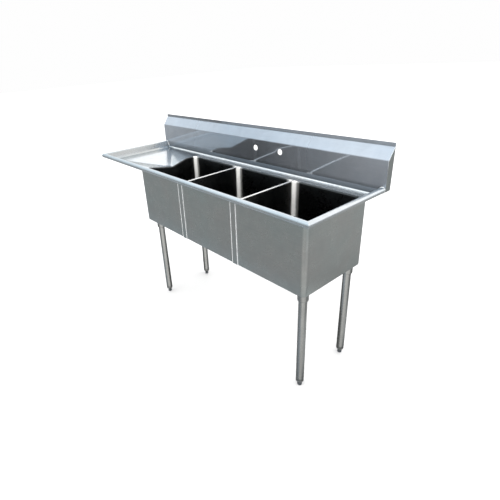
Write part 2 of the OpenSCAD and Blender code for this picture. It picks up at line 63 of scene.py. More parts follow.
BODIES = frame["record"]["behaviour"]["bodies"]
BODY_OF = {node: body for body, nodes in BODIES.items() for node in nodes}
BOWL = {side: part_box(f"bowl_{side}") for side in SIDES}
BOWL_FRONT = BOWL["left"][0].y  # outer faces of the bowls
BOWL_BACK = BOWL["left"][1].y
BOWL_BOTTOM = BOWL["left"][0].z
WEB_FOOT = BOWL["left"][1].z  # where the rim's web meets the bowl walls
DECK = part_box("rear_deck")[0].z + SHEET
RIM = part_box("rim_front")
OUTER_LEFT, OUTER_RIGHT, OUTER_FRONT, ROLL_TOP = RIM[0].x, RIM[1].x, RIM[0].y, RIM[1].z
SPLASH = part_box("backsplash")
FACE_Y = SPLASH[0].y  # front face of the backsplash
GAP = BOWL["middle"][0].x - BOWL["left"][1].x  # between neighbouring bowls

# ---- Sizes of the visible shapes ----

CORNER_R = 28 * MM - SHEET  # inside radius of a bowl's upright corners
FLOOR_R = 6 * MM - SHEET  # inside radius between a bowl's walls and its floor
DECK_BEND = 8 * MM  # bend from the deck down into a bowl
SMALL_BEND = 4 * MM  # the same bend at the dividers and the front
FLAT_R = 58 * MM  # half width of the flat part of a bowl's floor
GASKET_W = 9.4 * MM  # gasket beyond the drain hole
FLOOR_FALL = 3 * MM  # fall of a bowl's floor towards its drain
ROLL_R = 15.25 * MM
RIM_W = BOWL_FRONT - OUTER_FRONT
WEB_ANGLE = math.radians(28)
UPSTAND_TOP = WEB_FOOT - 6 * MM  # bowl walls end here, and the rim's lower bend begins
LIP_X = BOWL["left"][0].x + SHEET - DECK_BEND  # end of the drainboard, where its bend into the bowl begins
BOARD_FALL = 34 * MM
VALLEY_Y = BOWL_FRONT + 256 * MM  # lowest point of the drainboard, where it meets the bowl
FALL_FRONT = BOWL_FRONT + 66 * MM  # ends of the fall along the bowl
FALL_REAR = BOWL_FRONT + 381 * MM
COVE_W = 27 * MM  # width of the coved edge of the drainboard
COVE_H = WEB_FOOT - DECK
JOINT_COVE = 7 * MM  # cove between the deck and the backsplash
HOLE_R = 17.5 * MM
HIGHLIGHT_W = 30 * MM  # painted highlight strip on the rear wall beside each corner
# Shares of painted highlight on the rear walls and at the front corners of the bowls
WALL_HIGHLIGHT = 0.45
FRONT_HIGHLIGHT = 0.35
SPLASH_FACE_TOP = DECK + 178.2 * MM
SPLASH_BEVEL_TOP = SPLASH_FACE_TOP + 56 * MM
TUBE_R = 20.65 * MM  # leg tubes
TUBE_BORE = 19.15 * MM


# ---- Mesh helpers ----

def smoothstep(x):
    x = min(max(x, 0.0), 1.0)
    return x * x * (3 - 2 * x)


def mix(a, b, t):
    return a + (b - a) * t


def spread(a, b, count):
    """count + 1 evenly spaced numbers from a to b."""
    return [mix(a, b, k / count) for k in range(count + 1)]


def shade(mesh, angle=32):
    """Smooth shading with edges sharper than the angle kept crisp, and normals that point outwards."""
    bm = bmesh.new()
    bm.from_mesh(mesh)
    bmesh.ops.remove_doubles(bm, verts=bm.verts, dist=1e-6)
    bmesh.ops.recalc_face_normals(bm, faces=bm.faces)
    limit = math.radians(angle)
    for face in bm.faces:
        face.smooth = True
    for edge in bm.edges:
        edge.smooth = len(edge.link_faces) == 2 and edge.calc_face_angle(0) < limit
    bm.to_mesh(mesh)
    bm.free()


def new_object(name, verts, faces, materials, slots=None):
    """Mesh object with one material, or several with a slot number for each face."""
    mesh = bpy.data.meshes.new(name)
    mesh.from_pydata([tuple(v) for v in verts], [], faces)
    for material in materials:
        mesh.materials.append(material)
    if slots:
        mesh.polygons.foreach_set("material_index", slots)
    obj = bpy.data.objects.new(name, mesh)
    bpy.context.scene.collection.objects.link(obj)
    return obj


def bake_modifiers(obj):
    """Replaces the object's mesh by its evaluated one and removes its modifiers."""
    bpy.context.view_layer.update()
    evaluated = obj.evaluated_get(bpy.context.evaluated_depsgraph_get())
    mesh = bpy.data.meshes.new_from_object(evaluated)
    obj.modifiers.clear()
    obj.data = mesh


def thicken(obj, back_slot=0, even=True):
    """Gives a surface its sheet thickness, behind the side that its faces point to."""
    solid = obj.modifiers.new("sheet", "SOLIDIFY")
    solid.thickness = SHEET
    solid.offset = -1
    solid.use_even_offset = even
    solid.use_quality_normals = even
    solid.material_offset = back_slot
    solid.material_offset_rim = back_slot
    bake_modifiers(obj)


def grid_faces(rows, columns, closed=False):
    """Quads between the points of a grid that is stored row by row."""
    faces = []
    for r in range(rows - 1):
        for c in range(columns if closed else columns - 1):
            d = (c + 1) % columns
            faces.append((r * columns + c, r * columns + d, (r + 1) * columns + d, (r + 1) * columns + c))
    return faces


def loft(name, rings, materials):
    """Closed rings of equal count joined by quads, with flat ends."""
    count = len(rings[0])
    verts = [v for ring in rings for v in ring]
    faces = grid_faces(len(rings), count, closed=True)
    faces.append(tuple(range(count))[::-1])
    faces.append(tuple(range(len(verts) - count, len(verts))))
    return new_object(name, verts, faces, materials)


def circle(x, y, z, radius, steps):
    """Points of a level circle."""
    turns = [TAU * k / steps for k in range(steps)]
    return [Vector((x + radius * math.cos(a), y + radius * math.sin(a), z)) for a in turns]


def lathe(name, profile, materials, centre, segments):
    """Turned piece: profile holds (radius, height) pairs from one end of the outline to the other.

    A first or last radius of zero closes the end, and otherwise the outline closes on itself.
    """
    x, y, base = centre
    closed = profile[0][0] > 0
    rows = profile + [profile[0]] if closed else profile
    verts = []
    for radius, height in rows:
        verts += circle(x, y, base + height, radius, segments)
    return new_object(name, verts, grid_faces(len(rows), segments, closed=True), materials)


def turned(name, node, slot, material, profile, centre, segments, angle=32):
    """Turned piece that stands for one CAD node."""
    place(lathe(name, profile, [material], centre, segments), slot, node, angle=angle)


def round_profile(points, radius, steps=4):
    """Profile with each inner corner of a list of (r, z) points rounded."""
    out = [points[0]]
    for before, here, after in zip(points, points[1:], points[2:]):
        here_v = Vector(here)
        to_a, to_b = Vector(before) - here_v, Vector(after) - here_v
        reach = min(radius, to_a.length * 0.45, to_b.length * 0.45)
        a, b = here_v + to_a.normalized() * reach, here_v + to_b.normalized() * reach
        for t in spread(0, 1, steps):
            out.append(tuple(a * (1 - t) ** 2 + here_v * 2 * t * (1 - t) + b * t ** 2))
    out.append(points[-1])
    return out


def tube(path, radius, closed):
    """Vertices and faces of a round bead along a path of points."""
    verts = []
    count, sides = len(path), 10
    normal = None
    for k, point in enumerate(path):
        ahead = path[(k + 1) % count] if closed or k < count - 1 else point
        behind = path[k - 1] if closed or k > 0 else point
        along = (Vector(ahead) - Vector(behind)).normalized()
        if normal is None:
            helper = Vector((0, 0, 1)) if abs(along.z) < 0.9 else Vector((1, 0, 0))
            normal = along.cross(helper).normalized()
        normal = (normal - along * normal.dot(along)).normalized()
        other = along.cross(normal)
        swell = 1 if closed else min(1, 0.55 + min(k, count - 1 - k) * 0.45)
        for s in range(sides):
            a = TAU * s / sides
            verts.append(Vector(point) + (normal * math.cos(a) + other * math.sin(a)) * radius * swell)
    faces = grid_faces(count, sides, closed=True)
    last = (count - 1) * sides
    if closed:
        faces += [(last + s, last + (s + 1) % sides, (s + 1) % sides, s) for s in range(sides)]
    else:
        faces += [tuple(range(sides))[::-1], tuple(range(last, last + sides))]
    return verts, faces


def add_bead(obj, path, radius, material, closed=False, ripple=0.0):
    """Adds a weld bead along a path to an object's mesh."""
    points = [Vector(p) for p in path]
    verts, faces = tube(points, radius, closed)
    if ripple:
        verts = [v + Vector((0, 0, ripple * math.sin(v.x * 1900 + v.y * 2300 + v.z * 1700))) for v in verts]
    bead = new_object(obj.name + "_bead", verts, faces, [material])
    join(obj, bead)


def join(obj, other):
    """Moves the other object's mesh into obj, keeping its materials."""
    bm = bmesh.new()
    bm.from_mesh(obj.data)
    first = len(bm.faces)
    bm.from_mesh(other.data)
    bm.faces.ensure_lookup_table()
    slots = []
    for material in other.data.materials:
        names = [m.name for m in obj.data.materials]
        if material.name not in names:
            obj.data.materials.append(material)
            names.append(material.name)
        slots.append(names.index(material.name))
    for face in bm.faces[first:]:
        face.material_index = slots[face.material_index] if slots else 0
    bm.to_mesh(obj.data)
    bm.free()
    bpy.data.objects.remove(other)


def cut_holes(obj, cutters):
    """Cuts the shapes of other objects out of obj."""
    for cutter in cutters:
        boolean = obj.modifiers.new("cut", "BOOLEAN")
        boolean.operation = "DIFFERENCE"
        boolean.solver = "EXACT"
        boolean.object = cutter
    bake_modifiers(obj)
    for cutter in cutters:
        bpy.data.objects.remove(cutter)


def place(obj, slot, *nodes, angle=32):
    """Finishes a piece: its shading, its body and the CAD nodes it stands for. The slot is not used."""
    shade(obj.data, angle)
    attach(obj, BODY_OF[nodes[0]])
    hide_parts(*nodes)


# ---- Materials ----

def node_tree(material):
    """A material's node tree, its nodes, its links and its shader."""
    material.use_nodes = True
    tree = material.node_tree
    return tree, tree.nodes, tree.links, tree.nodes["Principled BSDF"]


def feed(tree, socket, value):
    """Links a socket to another one, or gives it a plain value."""
    if hasattr(value, "is_output"):
        tree.links.new(value, socket)
    elif socket.type == "RGBA":
        socket.default_value = (*value, 1)
    else:
        socket.default_value = value


def scalar_math(tree, operation, a, b=None):
    """Operation on one or two numbers."""
    node = tree.nodes.new("ShaderNodeMath")
    node.operation = operation
    feed(tree, node.inputs[0], a)
    if b is not None:
        feed(tree, node.inputs[1], b)
    return node.outputs[0]


def product(tree, a, b):
    return scalar_math(tree, "MULTIPLY", a, b)


def vector_math(tree, operation, a, b=None):
    """Operation on one or two vectors."""
    node = tree.nodes.new("ShaderNodeVectorMath")
    node.operation = operation
    feed(tree, node.inputs[0], a)
    if b is not None:
        feed(tree, node.inputs[1], b)
    return node.outputs["Value" if operation == "DOT_PRODUCT" else "Vector"]


def object_place(tree):
    """The shaded point in the object's axes, as a vector and as its X, Y and Z."""
    where = tree.nodes.new("ShaderNodeTexCoord").outputs["Object"]
    return where, split_xyz(tree, where)


def split_xyz(tree, vector):
    """A vector's X, Y and Z."""
    node = tree.nodes.new("ShaderNodeSeparateXYZ")
    tree.links.new(vector, node.inputs[0])
    return node.outputs


def noise(tree, vector, scale, detail, roughness=0.55):
    """Noise from 0 to 1."""
    node = tree.nodes.new("ShaderNodeTexNoise")
    node.inputs["Scale"].default_value = scale
    node.inputs["Detail"].default_value = detail
    node.inputs["Roughness"].default_value = roughness
    tree.links.new(vector, node.inputs["Vector"])
    return node.outputs["Fac"]


def stretched(tree, vector, scale):
    """A place scaled by its own number along each axis."""
    node = tree.nodes.new("ShaderNodeMapping")
    node.inputs["Scale"].default_value = scale
    tree.links.new(vector, node.inputs["Vector"])
    return node.outputs["Vector"]


def remap(tree, value, low, high, to_low, to_high):
    """Carries the range low to high onto another range, and stays inside that."""
    node = tree.nodes.new("ShaderNodeMapRange")
    tree.links.new(value, node.inputs["Value"])
    for key, number in (("From Min", low), ("From Max", high), ("To Min", to_low), ("To Max", to_high)):
        node.inputs[key].default_value = number
    return node.outputs["Result"]


def blend_colours(tree, factor, a, b):
    """Colour a where the factor is 0 and b where it is 1."""
    node = tree.nodes.new("ShaderNodeMix")
    node.data_type = "RGBA"
    feed(tree, node.inputs["Factor"], factor)
    feed(tree, node.inputs[6], a)
    feed(tree, node.inputs[7], b)
    return node.outputs[2]


def colour_ramp(tree, factor, stops):
    """Colour that follows a factor through (position, colour) stops."""
    node = tree.nodes.new("ShaderNodeValToRGB")
    tree.links.new(factor, node.inputs["Fac"])
    elements = node.color_ramp.elements
    while len(elements) < len(stops):
        elements.new(0.5)
    for element, (position, colour) in zip(elements, stops):
        element.position = position
        element.color = (*colour, 1)
    return node.outputs["Color"]


def bump(tree, height, strength, depth, normal=None):
    """Normal tilted by a height, on top of another normal if one is given."""
    node = tree.nodes.new("ShaderNodeBump")
    node.inputs["Strength"].default_value = strength
    node.inputs["Distance"].default_value = depth
    tree.links.new(height, node.inputs["Height"])
    if normal is not None:
        tree.links.new(normal, node.inputs["Normal"])
    return node.outputs["Normal"]


def brush_lines(tree, where, upright):
    """Fine grain along X, along Y on faces that look along X, or up and down when upright."""
    long, fine = 7.0, 820.0
    if upright:
        return noise(tree, stretched(tree, where, (fine, fine, long)), 1.0, 2.0)
    along_x = noise(tree, stretched(tree, where, (long, fine, fine)), 1.0, 2.0)
    along_y = noise(tree, stretched(tree, where, (fine, long, fine)), 1.0, 2.0)
    facing = split_xyz(tree, tree.nodes.new("ShaderNodeNewGeometry").outputs["True Normal"])
    sideways = scalar_math(tree, "GREATER_THAN", scalar_math(tree, "ABSOLUTE", facing["X"]), 0.7)
    pick = tree.nodes.new("ShaderNodeMix")
    feed(tree, pick.inputs["Factor"], sideways)
    feed(tree, pick.inputs[2], along_x)
    feed(tree, pick.inputs[3], along_y)
    return pick.outputs[0]


def steel(name, warm, cool, rough, grain=0.16, upright=False, blotch=3.5, metallic=1.0, lean=0.0):
    """Brushed stainless steel: long grain, soft blotches, fine scratches and smudges.

    lean tips the reflections a little downwards, as on a sheet that bows forward.
    """
    material = bpy.data.materials.new(name)
    tree, nodes, links, shader = node_tree(material)
    where, _ = object_place(tree)
    lines = brush_lines(tree, where, upright)
    clouds = noise(tree, where, blotch, 4.0, 0.6)
    smudges = noise(tree, where, blotch * 5.1, 5.0, 0.65)
    scratches = noise(tree, stretched(tree, where, (60, 900, 240)), 1.0, 2.0)

    tint = blend_colours(tree, remap(tree, clouds, 0.32, 0.68, 0, 1), warm, cool)
    links.new(tint, shader.inputs["Base Color"])
    shadow = remap(tree, smudges, 0.35, 0.75, 1.0, 0.9)
    multiply_colour(tree, shader, product(tree, shadow, remap(tree, lines, 0.25, 0.75, 0.93, 1.05)))

    wet = remap(tree, smudges, 0.3, 0.8, rough * 0.85, rough * 1.3)
    marks = remap(tree, scratches, 0.3, 0.8, -rough * 0.15, rough * 0.3)
    links.new(scalar_math(tree, "ADD", wet, marks), shader.inputs["Roughness"])
    shader.inputs["Metallic"].default_value = metallic

    normal = None
    if lean:
        normal = nodes.new("ShaderNodeNewGeometry").outputs["Normal"]
        normal = vector_math(tree, "NORMALIZE", vector_math(tree, "ADD", normal, (0, 0, -lean)))
    waves = bump(tree, noise(tree, where, 2.6, 1.0), 0.25, 1.2 * MM, normal)
    links.new(bump(tree, lines, grain, 0.2 * MM, waves), shader.inputs["Normal"])
    return material


def paint_cove_highlight(material, bright):
    """Paints a highlight on the upright corners of a bowl, where the mesh's cove attribute is high: a
    lighter, less metallic colour.
    """
    tree, nodes, links, shader = node_tree(material)
    cove = nodes.new("ShaderNodeAttribute")
    cove.attribute_name = "cove"
    factor = remap(tree, cove.outputs["Fac"], 0.15, 0.85, 0, 1)
    old = shader.inputs["Base Color"].links[0].from_socket
    links.new(blend_colours(tree, factor, old, bright), shader.inputs["Base Color"])
    links.new(remap(tree, factor, 0, 1, 1.0, 0.15), shader.inputs["Metallic"])
    return material


def multiply_colour(tree, shader, factor):
    """Multiplies a shader's base colour by a number or a colour."""
    colour = shader.inputs["Base Color"]
    tree.links.new(vector_math(tree, "MULTIPLY", colour.links[0].from_socket, factor), colour)


def shade_by_height(material, shades):
    """Paints shade on a material: darkens it by a share that depends on the height above the floor."""
    tree, _, _, shader = node_tree(material)
    _, place_xyz = object_place(tree)
    low, high = shades[0][0], shades[-1][0]
    stops = [((height - low) / (high - low), (share, share, share)) for height, share in shades]
    level = remap(tree, place_xyz["Z"], low, high, 0, 1)
    multiply_colour(tree, shader, colour_ramp(tree, level, stops))
    return material


def dark_sides(material):
    """Paints shade on round tubes towards their outlines, and a highlight down their middle."""
    tree, nodes, _, shader = node_tree(material)
    turned_away = nodes.new("ShaderNodeLayerWeight").outputs["Facing"]
    multiply_colour(tree, shader, remap(tree, turned_away, 0.03, 0.42, 1.45, 0.6))
    return material


def painted_light_at_ends(material):
    """Paints light towards a long sheet's left and right ends, where it is made less like a mirror so that
    its diffuse part shows lighter.
    """
    tree, _, links, shader = node_tree(material)
    _, place_xyz = object_place(tree)
    aside = scalar_math(tree, "ABSOLUTE", place_xyz["X"])
    links.new(remap(tree, aside, 0.1, 0.85, 0.86, 0.62), shader.inputs["Metallic"])
    return material


def plain(name, colour, rough, metallic=0.0, strength=0.25):
    """Moulded plastic, rubber or plated metal with fine surface grain and slight colour variation."""
    material = bpy.data.materials.new(name)
    tree, _, links, shader = node_tree(material)
    where, _ = object_place(tree)
    dust = noise(tree, where, 45.0, 4.0)
    grit = noise(tree, where, 900.0, 2.0)
    light = tuple(min(1.0, c * 1.35 + 0.004) for c in colour)
    tint = blend_colours(tree, remap(tree, dust, 0.35, 0.7, 0, 1), colour, light)
    links.new(tint, shader.inputs["Base Color"])
    links.new(remap(tree, dust, 0.3, 0.7, rough * 0.85, rough * 1.2), shader.inputs["Roughness"])
    shader.inputs["Metallic"].default_value = metallic
    links.new(bump(tree, grit, strength, 0.2 * MM), shader.inputs["Normal"])
    return material


# Painted shade: share of its colour that a piece keeps at each height
OUTSIDE_SHADES = (
    (BOWL_BOTTOM, 0.88),
    (BOWL_BOTTOM + 150 * MM, 0.97),
    (DECK, 1.0),
    (DECK + 12 * MM, 0.72),
    (DECK + 200 * MM, 0.80),
)
SPLASH_SHADES = (
    (DECK + 12 * MM, 0.22),
    (DECK + 40 * MM, 0.40),
    (DECK + 55 * MM, 0.62),
    (SPLASH_FACE_TOP - 4 * MM, 0.66),
    (SPLASH_FACE_TOP, 0.80),
    (SPLASH_BEVEL_TOP, 0.80),
    (SPLASH_BEVEL_TOP + 2 * MM, 0.40),
)

OUTSIDE = shade_by_height(
    steel("steel_bowl_outside", (0.59, 0.585, 0.575), (0.55, 0.60, 0.595), 0.30), OUTSIDE_SHADES)
# Painted shade: the inside of the bowls is a near black copy of the steel, with a painted highlight in its
# corners
INSIDE = paint_cove_highlight(
    steel("steel_bowl_inside", (0.10, 0.098, 0.095), (0.08, 0.082, 0.085), 0.30), (0.88, 0.87, 0.84))
TOP = steel("steel_deck", (0.66, 0.67, 0.68), (0.60, 0.65, 0.69), 0.16, grain=0.12)
DECK_STEEL = steel("steel_rear_deck", (0.66, 0.68, 0.70), (0.60, 0.65, 0.69), 0.20, grain=0.07,
                   metallic=0.86)
RIM_STEEL = steel("steel_rim", (0.72, 0.73, 0.74), (0.67, 0.71, 0.74), 0.26, grain=0.08)
# Painted shade: the backsplash is a slate blue copy of the steel, darkened by height, darkest just above
# the deck, with a painted tint of the blue it reflects
SPLASH_STEEL = painted_light_at_ends(shade_by_height(
    steel("steel_splash", (0.55, 0.59, 0.645), (0.52, 0.575, 0.645), 0.06, grain=0.03, lean=0.07),
    SPLASH_SHADES))
LEG_STEEL = dark_sides(
    steel("steel_leg", (0.56, 0.56, 0.55), (0.525, 0.53, 0.525), 0.24, grain=0.08, upright=True))
# Painted highlight: the weld beads are a lighter, less metallic copy of the steel, so that they show as
# bright lines
WELD = steel("steel_weld", (0.74, 0.74, 0.73), (0.68, 0.70, 0.72), 0.38, grain=0.3, blotch=60.0,
             metallic=0.35)
# Painted highlight: a lighter, less metallic copy of the steel for the divider caps, the rear coves and the
# rim's mitre seams
HIGHLIGHT_STEEL = steel("steel_painted_highlight", (0.80, 0.79, 0.77), (0.76, 0.77, 0.78), 0.22, grain=0.08,
                 metallic=0.72)
CHROME = plain("chrome_plate", (0.62, 0.62, 0.63), 0.12, metallic=1.0, strength=0.05)
ZINC = plain("zinc_plate", (0.36, 0.37, 0.38), 0.38, metallic=1.0)
FOOT = plain("foot_grey", (0.035, 0.040, 0.045), 0.45)
RUBBER = plain("black_rubber", (0.010, 0.010, 0.010), 0.6)


# ---- Heights of the drainboard ----

def board_cove(t):
    """Share of a coved edge's height at share t of its width."""
    return max(0.0, 1 - t) ** 2


def soft_min(a, b, k):
    """Smaller of two numbers, rounded off where they come within k of each other."""
    h = max(k - abs(a - b), 0.0) / k
    return min(a, b) - h * h * k / 4


def board_height(x, y):
    """Height of the drainboard's surface without its coved edges: planes that meet in soft creases."""
    start_x, start_y = OUTER_LEFT + RIM_W + COVE_W, BOWL_FRONT + COVE_W
    along = min(max((x - start_x) / (LIP_X - start_x), 0.0), 1.0)
    front_y = mix(start_y, FALL_FRONT, along)
    rear_y = mix(FACE_Y, FALL_REAR, along)
    left = BOARD_FALL * 1.05 * along
    front = BOARD_FALL * (y - front_y) / (VALLEY_Y - FALL_FRONT)
    rear = BOARD_FALL * (rear_y - y) / (FALL_REAR - VALLEY_Y)
    crisp, soft = 2.5 * MM, 4 * MM
    fall = soft_min(soft_min(front, rear, crisp), left, crisp)
    if fall < soft:
        fall = max(0.0, fall + soft) ** 2 / (4 * soft)
    return DECK - fall


def lip_fall(y):
    """Fall of the drainboard below the deck along the edge where it meets the bowl."""
    return DECK - board_height(LIP_X, y)


# ---- Bowls ----

def arc_highlight(n, t):
    """Share of painted highlight in a bowl's corner, at share t of the arc from its front or rear wall."""
    if n.y < 0.1:
        return FRONT_HIGHLIGHT * smoothstep(t / 0.5) * smoothstep((1 - t) / 0.12)
    return mix(WALL_HIGHLIGHT, 1, smoothstep(t / 0.35)) * smoothstep((1 - t) / 0.45)


def perimeter(x0, x1, y0, y1, radius):
    """Points round a rectangle with rounded corners, anticlockwise from the front.

    Each comes with its outward normal and its share of the corner's painted highlight, which fades
    towards the front and rear walls.
    """
    arc_steps, side_steps = 14, 44
    points = []
    corners = ((x0, y0), (x1, y0), (x1, y1), (x0, y1))
    for side, start in enumerate((-90, 0, 90, 180)):
        a, b = Vector(corners[side]), Vector(corners[(side + 1) % 4])
        step = (b - a).normalized() * radius
        n = Vector((math.cos(math.radians(start)), math.sin(math.radians(start))))
        length = (b - a).length - 2 * radius
        for t in spread(0, 1, side_steps)[:-1]:
            beside = min(t, 1 - t) * length / HIGHLIGHT_W
            highlight = WALL_HIGHLIGHT * smoothstep(1 - beside) if start == 90 else 0.0
            points.append(((a + step).lerp(b - step, t), n, highlight))
        cx, cy = corners[(side + 1) % 4]
        centre = Vector((cx - math.copysign(radius, cx - (x0 + x1) / 2),
                         cy - math.copysign(radius, cy - (y0 + y1) / 2)))
        for k in range(arc_steps):
            turn = math.radians(start + 90 * k / arc_steps)
            n = Vector((math.cos(turn), math.sin(turn)))
            t = k / arc_steps if start in (-90, 90) else 1 - k / arc_steps
            points.append((centre + n * radius, n, arc_highlight(n, t)))
    return points


def flange_widths(side):
    """Width of a bowl's flange on each of its four sides, up to the piece beside it."""
    half_gap = SHEET + GAP / 2
    return {
        (0, -1): 0.0,
        (0, 1): DECK_BEND,
        (-1, 0): DECK_BEND if side == "left" else half_gap,
        (1, 0): 0.0 if side == "right" else half_gap,
    }


def flange_reach(n, widths):
    """Distance from a bowl's edge to its flange's edge along the outward normal n."""
    if max(abs(n.x), abs(n.y)) > 0.999:
        return widths[(round(n.x), round(n.y))]
    across = widths[(1, 0)] if n.x > 0 else widths[(-1, 0)]
    along = widths[(0, 1)] if n.y > 0 else widths[(0, -1)]
    far = min((CORNER_R + across) / max(abs(n.x), 1e-6), (CORNER_R + along) / max(abs(n.y), 1e-6))
    return far - CORNER_R


def flange(side, points, lip_x):
    """Outer edge of a bowl's flange, and the radius of the bend into the wall at each point."""
    widths = flange_widths(side)
    edge, bends = [], []
    for p, n, _ in points:
        out = flange_reach(n, widths)
        q = p + n * out
        on_board = side == "left" and q.x < lip_x
        edge.append(Vector((q.x, q.y, DECK - lip_fall(q.y) if on_board else DECK)))
        wide = n.y > 0.9 or (side == "left" and n.x < -0.9)
        bends.append(min(DECK_BEND if wide else SMALL_BEND, out * 0.98))
    count = len(bends)
    soft = [(bends[i - 1] + bends[i] + bends[(i + 1) % count]) / 3 for i in range(count)]
    return edge, [s if b > 0 else 0.0 for s, b in zip(soft, bends)]


def wall_rings(points, edge, bends, foot_z):
    """Rings of a bowl's bend and walls, from the flange's edge down to the fillet at foot_z."""
    rings = [edge]
    for a in spread(0, math.pi / 2, 5):
        rings.append([Vector((*(p + n * b * (1 - math.sin(a))), q.z - b * (1 - math.cos(a))))
                      for (p, n, _), q, b in zip(points, edge, bends)])
    for t in (0.35, 0.7, 1.0):
        rings.append([Vector((p.x, p.y, mix(q.z - b, foot_z, t)))
                      for (p, _, _), q, b in zip(points, edge, bends)])
    return rings


def floor_rings(points, centre, half_w, drain_r):
    """Rings of a bowl's fillet and of its creased floor, which falls towards the drain hole."""
    floor = BOWL_BOTTOM + SHEET
    rings = []
    for a in spread(0, math.pi / 2, 6)[1:]:
        inset, rise = FLOOR_R * (1 - math.cos(a)), FLOOR_R * (1 - math.sin(a))
        rings.append([Vector((*(p - n * inset), floor + FLOOR_FALL + rise)) for p, n, _ in points])
    inner = rings[-1]
    for t in spread(0, 1, 7)[1:]:
        ring = []
        for q in inner:
            target = centre + (q.xy - centre).normalized() * drain_r
            r = q.xy.lerp(target, t)
            away = max(abs(r.x - centre.x), abs(r.y - centre.y))
            share = min(max((away - FLAT_R) / (half_w - FLOOR_R - FLAT_R), 0.0), 1.0)
            ring.append(Vector((r.x, r.y, floor + FLOOR_FALL * share)))
        rings.append(ring)
    return rings


def add_upstand(verts, faces, on_edge, count):
    """Adds a strip from a row of the flange's points up to the foot of the rim."""
    above = {}
    for i in on_edge:
        above[i] = len(verts)
        verts.append(Vector((verts[i].x, verts[i].y, UPSTAND_TOP)))
    for a, b in zip(on_edge, on_edge[1:]):
        if abs(a - b) in (1, count - 1):
            faces.append((a, above[a], above[b], b))


def bowl(side):
    """One deep drawn bowl with its bent top edge, coved corners, creased floor and drain hole."""
    low, high = BOWL[side]
    x0, x1 = low.x + SHEET, high.x - SHEET
    y0, y1 = BOWL_FRONT + SHEET, BOWL_BACK - SHEET
    centre = Vector(((x0 + x1) / 2, (y0 + y1) / 2))
    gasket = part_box(f"drain_gasket_{side}")
    drain_r = (gasket[1].x - gasket[0].x) / 2 - GASKET_W
    points = perimeter(x0, x1, y0, y1, CORNER_R)
    count = len(points)
    edge, bends = flange(side, points, x0)
    rings = wall_rings(points, edge, bends, BOWL_BOTTOM + SHEET + FLOOR_FALL + FLOOR_R)
    rings += floor_rings(points, centre, (x1 - x0) / 2, drain_r)
    verts = [v for ring in rings for v in ring]
    faces = grid_faces(len(rings), count, closed=True)
    shares = [share for _ in rings for _, _, share in points]

    # Upstands under the rim, where the flange has no width
    at_front = [i for i in range(count) if abs(edge[i].y - y0) < 1e-7]
    add_upstand(verts, faces, sorted(at_front, key=lambda i: edge[i].x), count)
    if side == "right":
        at_right = [i for i in range(count) if abs(edge[i].x - x1) < 1e-7]
        add_upstand(verts, faces, sorted(at_right, key=lambda i: edge[i].y), count)
    shares += [0.0] * (len(verts) - len(shares))

    obj = new_object(f"tub_{side}", verts, faces, [INSIDE, OUTSIDE])
    # The cove attribute holds each point's share of painted highlight
    attribute = obj.data.attributes.new("cove", "FLOAT", "POINT")
    attribute.data.foreach_set("value", shares)
    face_inwards(obj, Vector((centre.x, centre.y, DECK)))
    thicken(obj, back_slot=1, even=False)
    place(obj, "bowl_steel", f"bowl_{side}")


def face_inwards(obj, inside):
    """Turns all the faces of a connected surface so that they look at the point inside."""
    bm = bmesh.new()
    bm.from_mesh(obj.data)
    bmesh.ops.remove_doubles(bm, verts=bm.verts, dist=1e-7)
    bmesh.ops.recalc_face_normals(bm, faces=bm.faces)
    votes = 0.0
    for face in bm.faces:
        to_inside = inside - face.calc_center_median()
        votes += math.copysign(face.calc_area(), face.normal.dot(to_inside))
    if votes < 0:
        bmesh.ops.reverse_faces(bm, faces=bm.faces)
    bm.to_mesh(obj.data)
    bm.free()


# ---- Drainboard and deck ----

def height_sheet(name, xs, ys, height, node, finish):
    """Sheet over a grid of places at the heights that a function gives, with a painted highlight on its
    rear cove.
    """
    verts = [Vector((x, y, height(x, y))) for y in ys for x in xs]
    slots = []
    for y in ys[:-1]:
        highlighted = y > FACE_Y - JOINT_COVE * 0.8
        slots += [int(highlighted and x > OUTER_LEFT + RIM_W + COVE_W) for x in xs[:-1]]
    obj = new_object(name, verts, grid_faces(len(ys), len(xs)), [finish, HIGHLIGHT_STEEL], slots)
    thicken(obj)
    place(obj, "deck_steel", node)


def joint_cove(y):
    """Share of the height of the small cove at the foot of the backsplash."""
    return board_cove((FACE_Y - y) / JOINT_COVE)


def drainboard():
    """Sloped drainboard whose rounded creases run from its inner corners to a valley at the bowl."""
    x_start, y_start = OUTER_LEFT + RIM_W, BOWL_FRONT

    def height(x, y):
        near_bowl = smoothstep((LIP_X - x) / (95 * MM))
        front_w = mix(SHEET, COVE_W, near_bowl)
        left = board_cove((x - x_start) / COVE_W)
        front = board_cove((y - y_start) / front_w)
        edge = COVE_H * (1 - (1 - left) * (1 - front))
        return board_height(x, y) + edge + JOINT_COVE * joint_cove(y) * (1 - left)

    xs = spread(x_start, x_start + COVE_W, 9) + spread(x_start + COVE_W, LIP_X, 56)[1:]
    ys = [y_start, y_start + SHEET] + spread(y_start + SHEET, y_start + COVE_W, 9)[1:]
    ys += spread(y_start + COVE_W, FACE_Y - JOINT_COVE, 66)[1:]
    ys += spread(FACE_Y - JOINT_COVE, FACE_Y, 5)[1:]
    height_sheet("drainboard_sheet", xs, ys, height, "drainboard", TOP)


def rear_deck():
    """Flat deck behind the bowls, with a cove at the backsplash and an upstand at its right end."""
    right = BOWL["right"][1].x - SHEET

    def height(x, y):
        upstand = (UPSTAND_TOP - DECK) if x > right - 1e-6 else 0.0
        return DECK + max(upstand, JOINT_COVE * joint_cove(y))

    xs = spread(LIP_X, right - 0.4 * MM, 60) + [right]
    ys = spread(BOWL_BACK - SHEET + DECK_BEND, FACE_Y - JOINT_COVE, 8)
    ys += spread(FACE_Y - JOINT_COVE, FACE_Y, 5)[1:]
    height_sheet("rear_deck_sheet", xs, ys, height, "rear_deck", DECK_STEEL)


